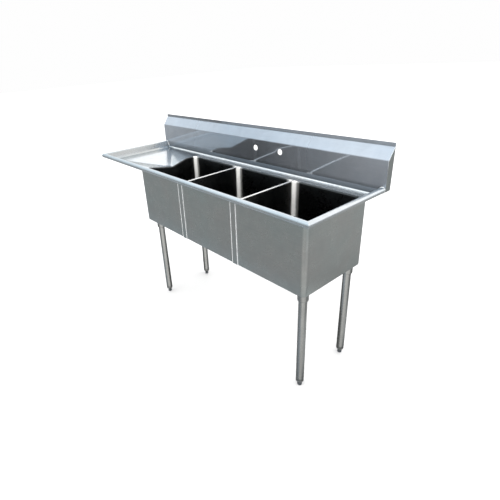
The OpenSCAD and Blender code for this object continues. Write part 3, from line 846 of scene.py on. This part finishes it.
def divider_cap(side):
    """Rounded cap over the two walls between neighbouring bowls."""
    node = f"divider_cap_{side}"
    low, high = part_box(node)
    middle, half_w = (low.x + high.x) / 2, (high.x - low.x) / 2
    height, skirt = 3.6 * MM, 2.4 * MM
    front, back = BOWL_FRONT + SHEET, BOWL_BACK + 5 * MM
    rings = []
    ys = [front, front + 5 * MM] + spread(front + 10 * MM, back - 16 * MM, 12)
    ys += spread(back - 12 * MM, back, 4)
    for y in ys:
        taper = math.sqrt(max(0.02, min(1.0, (back - y) / (12 * MM))))
        ring = []
        for a in spread(0, math.pi, 14):
            z = DECK - 0.9 * MM + (height - 0.2 * MM) * taper * math.sin(a) ** 0.8
            ring.append(Vector((middle + half_w * mix(0.75, 1, taper) * math.cos(a), y, z)))
        for x in (-half_w + 0.6 * MM, half_w - 0.6 * MM):
            ring.append(Vector((middle + x, y, DECK - skirt)))
        rings.append(ring)
    obj = loft(f"divider_strip_{side}", rings, [HIGHLIGHT_STEEL])
    place(obj, "deck_steel", node, angle=50)


# ---- Rim ----

def rim_section():
    """Outer surface of the rim as (inward, height) pairs, from the hem over the roll to the bowl wall."""
    centre = Vector((ROLL_R, ROLL_TOP - ROLL_R))
    section = [centre + ROLL_R * Vector((math.cos(a), math.sin(a)))
               for a in spread(math.radians(315), WEB_ANGLE, 44)]
    wall_u = RIM_W + SHEET
    web_end = Vector((RIM_W - 1.2 * MM, WEB_FOOT + 1.2 * MM / math.tan(WEB_ANGLE)))
    wall_top = Vector((wall_u, UPSTAND_TOP))
    knee = Vector((wall_u, WEB_FOOT - SHEET / math.tan(WEB_ANGLE)))
    section.append(section[-1].lerp(web_end, 0.5))
    for t in spread(0, 1, 6):
        section.append(web_end * (1 - t) ** 2 + knee * 2 * t * (1 - t) + wall_top * t ** 2)
    return section


def rim_place(side, u, z, y=None):
    """Place of a section point on the left or right rim, at depth y or else on the front mitre."""
    x = OUTER_LEFT + u if side == "left" else OUTER_RIGHT - u
    return Vector((x, OUTER_FRONT + u if y is None else y, z))


def rim_length(name, start, end):
    """Straight length of rim between two rows of places along its section."""
    rows = len(start)
    faces = [(k, k + 1, rows + k + 1, rows + k) for k in range(rows - 1)]
    obj = new_object(name, start + end, faces, [RIM_STEEL])
    face_outwards(obj)
    thicken(obj)
    return obj


def face_outwards(obj):
    """Turns the rim's faces so that the top of the roll looks up."""
    bm = bmesh.new()
    bm.from_mesh(obj.data)
    bmesh.ops.recalc_face_normals(bm, faces=bm.faces)
    highest = max(bm.faces, key=lambda f: f.calc_center_median().z)
    if highest.normal.z < 0:
        bmesh.ops.reverse_faces(bm, faces=bm.faces)
    bm.to_mesh(obj.data)
    bm.free()


def rims():
    """Front, left and right rims, mitred at the front and welded at the corners and the backsplash."""
    section = rim_section()
    mitre = {side: [rim_place(side, u, z) for u, z in section] for side in ("left", "right")}
    front = rim_length("rolled_rim_front", mitre["left"], mitre["right"])
    seam_r, weld_r = 0.7 * MM, 1.9 * MM
    for side in mitre:
        middle = rim_place(side, ROLL_R, ROLL_TOP - ROLL_R)
        path = [rim_place(side, max(u, seam_r), z) for u, z in section[6:-3]]
        sunk = [p + (middle - p).normalized() * seam_r * 0.55 for p in path]
        add_bead(front, sunk, seam_r, HIGHLIGHT_STEEL)
    place(front, "deck_steel", "rim_front", angle=40)
    for side in mitre:
        at_splash = [rim_place(side, u, z, FACE_Y) for u, z in section]
        obj = rim_length(f"rolled_rim_{side}", mitre[side], at_splash)
        weld = [rim_place(side, max(u, weld_r), z, FACE_Y - 1 * MM) for u, z in section[4:-2]]
        add_bead(obj, weld, weld_r, WELD, ripple=0.15 * MM)
        place(obj, "deck_steel", f"rim_{side}", angle=40)


# ---- Fillers between the bowls ----

def filler_path():
    """Filler's line down the bowls and round their bottom edge: (inset, height, tilt in radians)."""
    under = FLOOR_R + SHEET
    path = [(0.0, DECK - SHEET, 0.0)]
    for degrees in spread(0, 80, 8):
        tilt = math.radians(degrees)
        path.append((under * (1 - math.cos(tilt)), BOWL_BOTTOM + under - under * math.sin(tilt), tilt))
    return path


def filler(node, name, facing):
    """Plate over the joint between two bowls, with a rounded weld along each edge.

    facing is -1 at the front and 1 at the back.
    """
    low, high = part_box(node)
    middle = (low.x + high.x) / 2
    half_w, depth, bead_r = 19.5 * MM, 3.2 * MM, 2.1 * MM
    flush = BOWL_FRONT if facing < 0 else BOWL_BACK
    rings = []
    beads = {-half_w: [], half_w: []}
    for k, (inset, z, tilt) in enumerate(filler_path()):
        out = Vector((0, facing * math.cos(tilt), -math.sin(tilt)))
        base = Vector((middle, flush - facing * inset, z))
        outer = [base + Vector((x, 0, 0)) for x in spread(-half_w, half_w, 6)]
        rings.append(outer + [p - out * depth for p in outer[::-1]])
        weld_z = WEB_FOOT - 2 * MM if k == 0 and facing < 0 else z
        for x, bead in beads.items():
            bead.append(Vector((middle + x, base.y, weld_z)) - out * bead_r * 0.4)
    obj = loft(name, rings, [OUTSIDE])
    for bead in beads.values():
        steps = spread(bead[0].z, bead[1].z, 24)[1:-1]
        bead[1:1] = [Vector((bead[0].x, bead[0].y, z)) for z in steps]
        add_bead(obj, bead, bead_r, WELD, ripple=0.12 * MM)
    place(obj, "bowl_steel", node)


# ---- Backsplash ----

def splash_profile():
    """Front surface of the backsplash as (y, z) pairs, from its lower flange to the top of its lip."""
    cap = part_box("splash_end_left")
    back = SPLASH[1].y - 1.25 * SHEET
    face = [(FACE_Y, cap[0].z), (FACE_Y, SPLASH_FACE_TOP)]
    lip = [(back, SPLASH_BEVEL_TOP), (back, SPLASH[1].z)]
    profile = round_profile(face + lip, 3.5 * MM, 5)
    return [(FACE_Y, SPLASH[0].z)] + profile, cap[0].z


def backsplash():
    """Bent sheet of the backsplash: upright face, sloped top and lip, with two faucet holes."""
    profile, flange_top = splash_profile()
    xs = [OUTER_LEFT] + spread(OUTER_LEFT + RIM_W, OUTER_RIGHT - RIM_W, 24) + [OUTER_RIGHT]
    verts = [Vector((x, y, z)) for y, z in profile for x in xs]
    columns = len(xs)
    faces = []
    for r, ((_, z_low), _) in enumerate(zip(profile, profile[1:])):
        for c in range(columns - 1):
            if z_low < flange_top - 1e-6 and c in (0, columns - 2):
                continue
            a = r * columns + c
            faces.append((a, a + 1, a + columns + 1, a + columns))
    obj = new_object("backsplash_sheet", verts, faces, [SPLASH_STEEL])
    face_inwards(obj, Vector((0, -10, DECK)))
    thicken(obj)
    cut_holes(obj, faucet_cutters())
    place(obj, "splash_steel", "backsplash")


def faucet_cutters():
    """Round cutters for the pair of faucet holes, placed by the record's faucet mount."""
    mount = next(m for m in frame["record"]["mounts"] if m["name"] == "faucet")
    centre_x, _, centre_z = mount["pos_m"]
    pitch = mount["dims"]["spacing_x_mm"] * MM
    cutters = []
    for x in (centre_x - pitch / 2, centre_x + pitch / 2):
        rings = [[Vector((x + p.x, y, centre_z + p.y)) for p in circle(0, 0, 0, HOLE_R, 48)]
                 for y in (FACE_Y - 9 * MM, FACE_Y + 9 * MM)]
        cutters.append(loft("cutter", rings, []))
        shade(cutters[-1].data)
    return cutters


def splash_end(side):
    """End cap of the boxed backsplash, with inner flanges and a ground weld along its front edge."""
    node = f"splash_end_{side}"
    low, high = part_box(node)
    outer, sign = (low.x, 1) if side == "left" else (high.x, -1)
    profile, _ = splash_profile()
    front = [(y + SHEET, z - 0.4 * MM) for y, z in profile[1:-1] if z < high.z]
    outline = front + [(high.y, high.z), (high.y, low.z)]
    rings = []
    for depth in (0.0, SHEET):
        rings.append([Vector((outer + sign * depth, y, z)) for y, z in outline])
    obj = loft(f"end_cap_{side}", rings, [OUTSIDE])
    flange = 14 * MM
    top = high.z - 6 * MM
    upright = ((high.y - SHEET, low.z), (high.y, low.z), (high.y, top), (high.y - SHEET, top))
    level = ((low.y, low.z), (high.y, low.z), (high.y, low.z + SHEET), (low.y, low.z + SHEET))
    for plate in (upright, level):
        ends = [[Vector((outer + sign * d, y, z)) for y, z in plate] for d in (0.0, flange)]
        join(obj, loft("flange", ends, [OUTSIDE]))
    weld = [Vector((outer + sign * 0.9 * MM, y + 0.7 * MM, z)) for y, z in profile[1:-1]]
    add_bead(obj, weld, 0.85 * MM, WELD)
    place(obj, "splash_steel", node)


# ---- Legs ----

def leg_axis(corner):
    low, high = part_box(f"leg_{corner}")
    return (low.x + high.x) / 2, (low.y + high.y) / 2, low.z, high.z


def leg(corner):
    """Leg tube with a rolled edge at the bottom."""
    x, y, bottom, top = leg_axis(corner)
    height = top - bottom
    profile = [(TUBE_R - 0.4 * MM, 0), (TUBE_R, 0.6 * MM)]
    profile += [(TUBE_R, t) for t in spread(20 * MM, height - 20 * MM, 12)]
    profile += [(TUBE_R, height), (TUBE_BORE, height), (TUBE_BORE, 0.4 * MM)]
    turned(f"leg_tube_{corner}", f"leg_{corner}", "leg_steel", LEG_STEEL, profile, (x, y, bottom), 72, 50)


def leg_socket(corner):
    """Weld plate and collar under a bowl, with the welds that hold them."""
    node = f"leg_socket_{corner}"
    x, y, _, top = leg_axis(corner)
    low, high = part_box(node)
    inner, outer = TUBE_R + 0.1 * MM, 26.6 * MM
    height = top - low.z
    collar = [(inner, 0.5 * MM), (outer - 3 * MM, 0), (outer, 3 * MM), (outer, height)]
    lower = round_profile(collar, 1.5 * MM)
    obj = lathe(f"socket_{corner}", lower + [(inner, height)], [LEG_STEEL], (x, y, low.z), 72)
    sx = 1 if high.x - x > x - low.x else -1
    sy = 1 if high.y - y > y - low.y else -1
    short, long = 18 * MM, 74 * MM
    corners = [(-short, -short), (long, -short), (long, 0), (0, long), (-short, long)]
    outline = [Vector((x + sx * a, y + sy * b, 0)) for a, b in corners]
    rings = [[v + Vector((0, 0, z)) for v in outline] for z in (top, high.z + 0.8 * MM)]
    join(obj, loft("plate", rings, [LEG_STEEL]))
    around = circle(x, y, top - 0.2 * MM, outer + 0.4 * MM, 48)
    add_bead(obj, around, 1.1 * MM, LEG_STEEL, closed=True, ripple=0.1 * MM)
    edge = []
    for a, b in zip(outline, outline[1:] + outline[:1]):
        edge += [a.lerp(b, t) + Vector((0, 0, high.z - 0.6 * MM)) for t in spread(0, 1, 8)[:-1]]
    add_bead(obj, edge, 1.6 * MM, LEG_STEEL, closed=True, ripple=0.2 * MM)
    place(obj, "leg_steel", node)


def foot_insert(corner):
    """Tapered insert pressed into the bottom of a leg tube."""
    x, y, _, _ = leg_axis(corner)
    low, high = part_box(f"foot_insert_{corner}")
    bore, tip, plug, cone = 6.35 * MM, 12.4 * MM, 19.05 * MM, 15 * MM
    length = high.z - low.z
    shape = [(bore, 0), (tip, 0), (TUBE_R, cone - 3 * MM), (TUBE_R, cone), (plug, cone)]
    profile = round_profile(shape, 1.0 * MM) + [(plug, length), (bore, length)]
    node = f"foot_insert_{corner}"
    turned(f"insert_{corner}", node, "leg_steel", LEG_STEEL, profile, (x, y, low.z), 72, 50)


def foot(corner):
    """Adjustable bullet foot with a rounded tip, a waist and a threaded stem."""
    x, y, _, _ = leg_axis(corner)
    low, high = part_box(f"foot_{corner}")
    radius, neck, stem = 12 * MM, 10 * MM, 6.2 * MM
    height, length = 19.5 * MM, high.z - low.z
    shape = [(0, 0), (radius - 2 * MM, 0), (radius, 2 * MM), (radius, height - 5.5 * MM),
             (neck, height - 4 * MM), (neck, height), (stem, height)]
    profile = round_profile(shape, 1.6 * MM)
    pitch = 1.75 * MM
    turns = int((length - height - 3 * MM) / pitch)
    for k in range(turns):
        z = height + 1.5 * MM + k * pitch
        profile += [(stem, z), (stem - 0.55 * MM, z + pitch * 0.5)]
    profile += [(stem, length - 1.2 * MM), (stem - 1 * MM, length), (0, length)]
    turned(f"bullet_foot_{corner}", f"foot_{corner}", "foot_plastic", FOOT, profile, (x, y, low.z), 64, 50)


# ---- Drains and baskets ----

def drain_axis(side):
    low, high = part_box(f"drain_body_{side}")
    return (low.x + high.x) / 2, (low.y + high.y) / 2, BOWL_BOTTOM + SHEET


def in_mm(profile):
    """Profile given in millimetres, turned into metres."""
    return [(radius * MM, height * MM) for radius, height in profile]


def drain(side):
    """Drain under one bowl: flanged body, gasket, locknut, coupling nut and tailpiece."""
    at = drain_axis(side)
    flange = [(43.0, -5), (43.0, 0.6), (44.5, 2.3), (47, 2.6), (52, 2.0), (55.6, 0.9), (56.0, 0.1)]
    cup = [(44.5, 0), (44.5, -46), (42.5, -48), (22, -48)]
    outlet = [(22, -66), (16.5, -66), (16.5, -46)]
    bore = [(38, -46), (40, -44), (40, -6.5)]
    outline = in_mm(flange + cup + outlet + bore)
    turned(f"drain_flange_{side}", f"drain_body_{side}", "drain_chrome", CHROME, outline, at, 96, 28)

    gasket = round_profile(in_mm([(44.7, -4.2), (54, -4.2), (54, -1.2), (44.7, -1.2)]), 0.8 * MM)
    turned(f"gasket_{side}", f"drain_gasket_{side}", "rubber", RUBBER, gasket, at, 72)

    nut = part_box(f"drain_locknut_{side}")
    place(locknut(side, at, nut[0].z, nut[1].z), "hardware_steel", f"drain_locknut_{side}")
    place(coupling(side, at), "drain_chrome", f"drain_coupling_{side}")

    low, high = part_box(f"drain_tailpiece_{side}")
    bottom, top = (low.z - at[2]) / MM, (high.z - at[2]) / MM
    pipe = [(17.55, bottom), (18.6, bottom), (19.05, bottom + 0.6), (19.05, top - 5.2)]
    collar = [(19.65, top - 5), (19.65, top - 2), (21.9, top - 2), (21.9, top), (17.55, top)]
    outline = in_mm(pipe + collar)
    turned(f"tailpiece_{side}", f"drain_tailpiece_{side}", "drain_chrome", CHROME, outline, at, 72, 28)


def locknut(side, at, low, high):
    """Ring nut with six lugs whose edges are rounded."""
    steps, lugs = 180, 6
    inner, ring_r, lug_r, soft = 44.6 * MM, 52 * MM, 58 * MM, 1 * MM

    def radius(k):
        swing = abs(((k / steps * lugs + 0.5) % 1.0) - 0.5) / lugs * TAU * ring_r
        return mix(lug_r, ring_r, smoothstep((swing - 5 * MM) / (3 * MM)))

    verts = []
    for k in range(steps + 1):
        a = TAU * k / steps
        r = radius(k % steps)
        outline = [(inner, low), (r - soft, low), (r, low + soft)]
        outline += [(r, high - soft), (r - soft, high), (inner, high)]
        verts += [Vector((at[0] + q * math.cos(a), at[1] + q * math.sin(a), z)) for q, z in outline]
    faces = grid_faces(steps + 1, len(outline), closed=True)
    return new_object(f"locknut_{side}", verts, faces, [ZINC])


def coupling(side, at):
    """Hexagon coupling nut whose corners are turned off at both ends."""
    low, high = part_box(f"drain_coupling_{side}")
    bottom, hex_h, total = low.z, (high.z - low.z) * 0.75, high.z - low.z
    corner_r, round_r, bore, lip = 27 * MM, 23.5 * MM, 22.1 * MM, 19.75 * MM
    steps = 96

    def hex_radius(a, limit):
        flat = corner_r * math.cos(math.pi / 6)
        wedge = (a % (TAU / 6)) - TAU / 12
        return min(flat / math.cos(wedge), limit)

    chamfer, turned_r, floor = 1.4 * MM, 24.6 * MM, 3 * MM
    rows = [(lip, 0, False), (turned_r, 0, True), (corner_r, chamfer, True)]
    rows += [(corner_r, hex_h - chamfer, True), (turned_r, hex_h, True)]
    rows += [(round_r, hex_h, False), (round_r, total, False)]
    rows += [(bore, total, False), (bore, floor, False), (lip, floor, False), (lip, 0, False)]
    verts = []
    for limit, z, is_hex in rows:
        for k in range(steps):
            a = TAU * k / steps
            r = hex_radius(a, limit) if is_hex else limit
            verts.append(Vector((at[0] + r * math.cos(a), at[1] + r * math.sin(a), bottom + z)))
    return new_object(f"coupling_nut_{side}", verts, grid_faces(len(rows), steps, closed=True), [CHROME])


def strainer_holes(x, y, z):
    """Cutter for three circles of round holes through a strainer's floor at height z."""
    hole_r = 2.4 * MM
    merged = None
    for radius, holes in ((31 * MM, 16), (23.5 * MM, 12), (16 * MM, 8)):
        for k in range(holes):
            a = TAU * (k + 0.5 * (holes == 12)) / holes
            spot = Vector((x + radius * math.cos(a), y + radius * math.sin(a), 0))
            rings = [[spot + p for p in circle(0, 0, level, hole_r, 12)]
                     for level in (z - 2 * MM, z + 3 * MM)]
            cutter = loft("cutter", rings, [])
            if merged:
                join(merged, cutter)
            else:
                merged = cutter
    shade(merged.data)
    return merged


def basket_cup(side, post_bore):
    """Perforated cup with a flat lip."""
    x, y, _ = drain_axis(side)
    low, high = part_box(f"basket_cup_{side}")
    outer, lip, draft, thick = 38.4 * MM, 42.4 * MM, 1.5 * MM, 0.8 * MM
    height = high.z - low.z
    outside = [(post_bore, 0), (outer - draft, 0), (outer, height - thick), (lip, height - thick)]
    inside = [(lip, height), (outer - thick, height), (outer - draft - thick, thick), (post_bore, thick)]
    outline = round_profile(outside + inside, 3 * MM)
    cup = lathe(f"strainer_cup_{side}", outline, [CHROME], (x, y, low.z), 96)
    shade(cup.data)
    cut_holes(cup, [strainer_holes(x, y, low.z)])
    place(cup, "drain_chrome", f"basket_cup_{side}")


def basket_knob(side):
    """Knob on a post that is riveted under the cup."""
    at = drain_axis(side)
    low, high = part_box(f"basket_knob_{side}")
    foot_z, top_z = (low.z - at[2]) / MM, (high.z - at[2]) / MM
    head = [(0, foot_z), (5.3, foot_z), (5.3, foot_z + 1.7), (3.4, foot_z + 2)]
    post = [(3.4, -35.1), (6.3, -35.1), (6.3, -32.4), (3.4, -32), (3.4, top_z - 10)]
    grip = [(5, top_z - 9.4), (8.8, top_z - 5.4), (9, top_z - 2.4), (7.4, top_z)]
    dimple = [(3, top_z - 0.5), (0, top_z - 0.7)]
    outline = round_profile(in_mm(head + post + grip + dimple), 0.7 * MM, 3)
    turned(f"knob_{side}", f"basket_knob_{side}", "drain_chrome", CHROME, outline, at, 48)


def basket_stopper(side, post_bore):
    """Rubber disc under the cup."""
    at = drain_axis(side)
    low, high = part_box(f"basket_stopper_{side}")
    bottom, top = low.z - at[2], high.z - at[2]
    edge_r = 24 * MM
    disc = [(post_bore, bottom), (edge_r - 2 * MM, bottom), (edge_r, top - 1 * MM), (edge_r, top)]
    disc = round_profile(disc + [(post_bore, top)], 1 * MM)
    turned(f"stopper_{side}", f"basket_stopper_{side}", "rubber", RUBBER, disc, at, 64)


def basket(side):
    """Lift-out strainer: perforated cup, knob on its post and rubber stopper."""
    post_bore = 3.6 * MM
    basket_cup(side, post_bore)
    basket_knob(side)
    basket_stopper(side, post_bore)


def set_screws():
    """The four set screws keep their CAD shape and take the zinc finish."""
    screws = frame["nodes"]["leg_set_screws"]
    screws.data.materials.clear()
    screws.data.materials.append(ZINC)


# ---- Stage: floor, light and camera ----

# Colours that steel sees at each height above the horizon, in front of the sink and behind it
SKY_AHEAD = (
    (0.0, (0.52, 0.60, 0.66)),
    (0.25, (0.66, 0.76, 0.82)),
    (0.60, (1.12, 1.26, 1.35)),
    (0.85, (1.12, 1.26, 1.35)),
    (1.0, (0.80, 0.85, 0.88)),
)
SKY_BEHIND = (
    (0.0, (1.00, 1.05, 1.10)),
    (0.12, (1.50, 1.52, 1.54)),
    (0.65, (1.50, 1.50, 1.50)),
    (0.78, (1.22, 1.19, 1.12)),
    (1.0, (1.00, 0.97, 0.92)),
)


def sky_in_steel(tree):
    """What steel sees of the sky: darker towards the horizon, with a warm patch high on the right."""
    towards = split_xyz(tree, tree.nodes.new("ShaderNodeTexCoord").outputs["Generated"])
    ahead = colour_ramp(tree, towards["Z"], SKY_AHEAD)
    behind = colour_ramp(tree, towards["Z"], SKY_BEHIND)
    sky = blend_colours(tree, remap(tree, towards["Y"], 0.33, 0.43, 0, 1), ahead, behind)
    to_right = remap(tree, towards["X"], 0.42, 0.56, 0, 1)
    upwards = remap(tree, towards["Z"], 0.42, 0.58, 0, 1)
    return blend_colours(tree, product(tree, to_right, upwards), sky, (0.72, 0.70, 0.67))


def studio_sky():
    """Soft studio dome: white to the camera, even light on everything, shaded only for reflections."""
    world = bpy.data.worlds.new("studio")
    bpy.context.scene.world = world
    world.use_nodes = True
    tree = world.node_tree
    tree.nodes.clear()
    rays = tree.nodes.new("ShaderNodeLightPath")
    colour = blend_colours(tree, rays.outputs["Is Glossy Ray"], (3.0, 3.0, 3.0), sky_in_steel(tree))
    colour = blend_colours(tree, rays.outputs["Is Camera Ray"], colour, (0.99, 0.99, 0.99))
    background = tree.nodes.new("ShaderNodeBackground")
    tree.links.new(colour, background.inputs["Color"])
    output = tree.nodes.new("ShaderNodeOutputWorld")
    tree.links.new(background.outputs[0], output.inputs["Surface"])
    world.cycles.sampling_method = "NONE"


def band(tree, value, rise, fall):
    """One inside a band and zero outside it; each side is a slope, given from zero to one."""
    return product(tree, remap(tree, value, *rise, 0, 1), remap(tree, value, *fall, 0, 1))


def floor_in_steel(tree):
    """What steel sees of the floor: grey, with painted shadow under the sink and painted light beside it
    and by the camera.
    """
    where, xyz = object_place(tree)
    x, y = xyz["X"], xyz["Y"]
    yaw = math.radians(CAMERA_YAW)
    to_camera = Vector((math.sin(yaw), -math.cos(yaw), 0))
    incoming = tree.nodes.new("ShaderNodeNewGeometry").outputs["Incoming"]
    facing = vector_math(tree, "DOT_PRODUCT", incoming, -to_camera)
    distance = vector_math(tree, "DOT_PRODUCT", where, to_camera)
    lit = product(tree, remap(tree, facing, 0.45, 0.66, 0, 1), remap(tree, distance, 2.5, 2.0, 0.15, 1))
    under_x = remap(tree, scalar_math(tree, "ABSOLUTE", x), 1.05, 0.75, 0, 1)
    under_y = remap(tree, scalar_math(tree, "ABSOLUTE", y), 0.45, 0.15, 0, 1)
    near_front = band(tree, y, (-0.95, -0.6), (-0.2, -0.34))
    right_x = band(tree, x, (0.95, 1.1), (1.55, 1.2))
    near_right = product(tree, right_x, band(tree, y, (-0.5, -0.2), (0.6, 0.3)))
    grey = blend_colours(tree, remap(tree, y, 0.3, 1.2, 0, 1), (0.37, 0.385, 0.385), (0.45, 0.46, 0.455))
    grey = blend_colours(tree, near_front, grey, (0.52, 0.58, 0.63))
    grey = blend_colours(tree, product(tree, under_x, under_y), grey, (0.18, 0.185, 0.18))
    grey = blend_colours(tree, near_right, grey, (0.90, 0.93, 0.92))
    return blend_colours(tree, lit, grey, (0.72, 0.72, 0.70))


def pale_floor():
    """Large pale floor, which only reflections see as grey: for them it glows with painted shadow and
    painted light.
    """
    size = 30.0
    corners = [(-size, -size, 0), (size, -size, 0), (size, size, 0), (-size, size, 0)]
    material = bpy.data.materials.new("floor_pale")
    tree, nodes, links, shader = node_tree(material)
    feed(tree, shader.inputs["Base Color"], (0.5, 0.5, 0.5))
    shader.inputs["Roughness"].default_value = 0.9
    shader.inputs["Specular IOR Level"].default_value = 0.0
    glow = nodes.new("ShaderNodeEmission")
    links.new(floor_in_steel(tree), glow.inputs["Color"])
    switch = nodes.new("ShaderNodeMixShader")
    links.new(nodes.new("ShaderNodeLightPath").outputs["Is Glossy Ray"], switch.inputs["Fac"])
    links.new(shader.outputs[0], switch.inputs[1])
    links.new(glow.outputs[0], switch.inputs[2])
    links.new(switch.outputs[0], nodes["Material Output"].inputs["Surface"])
    new_object("floor", corners, [(0, 1, 2, 3)], [material])


CAMERA_PLACE = Vector((1.8276, -1.4351, 1.6023))
CAMERA_YAW = 52.05  # degrees from +Y towards -X
CAMERA_PITCH = -25.42
CAMERA_ROLL = -3.88
CAMERA_LENS = 27.54  # millimetres, on a 36 mm sensor
CAMERA_SHIFT = (0.0642, -0.0275)


def camera():
    """Camera that looks from the photograph's place."""
    yaw, pitch, roll = (math.radians(a) for a in (CAMERA_YAW, CAMERA_PITCH, CAMERA_ROLL))
    ahead = Vector((-math.sin(yaw) * math.cos(pitch), math.cos(yaw) * math.cos(pitch), math.sin(pitch)))
    level = ahead.cross(Vector((0, 0, 1))).normalized()
    upright = level.cross(ahead)
    right = level * math.cos(roll) + upright * math.sin(roll)
    up = upright * math.cos(roll) - level * math.sin(roll)
    data = bpy.data.cameras.new("camera")
    data.sensor_width = 36
    data.lens = CAMERA_LENS
    data.shift_x, data.shift_y = CAMERA_SHIFT
    obj = bpy.data.objects.new("camera", data)
    turn = Matrix((right, up, -ahead)).transposed()
    obj.matrix_world = Matrix.Translation(CAMERA_PLACE) @ turn.to_4x4()
    bpy.context.scene.collection.objects.link(obj)
    bpy.context.scene.camera = obj


# ---- Build ----

for side in SIDES:
    bowl(side)
    drain(side)
    basket(side)
drainboard()
rear_deck()
rims()
for side in ("left", "right"):
    divider_cap(side)
    filler(f"front_filler_{side}", f"front_seam_{side}", -1)
    filler(f"rear_filler_{side}", f"rear_seam_{side}", 1)
    splash_end(side)
backsplash()
for corner in CORNERS:
    leg(corner)
    leg_socket(corner)
    foot_insert(corner)
    foot(corner)
set_screws()

studio_sky()
pale_floor()
camera()
view = bpy.context.scene.view_settings
view.view_transform = "Standard"
view.look = "None"
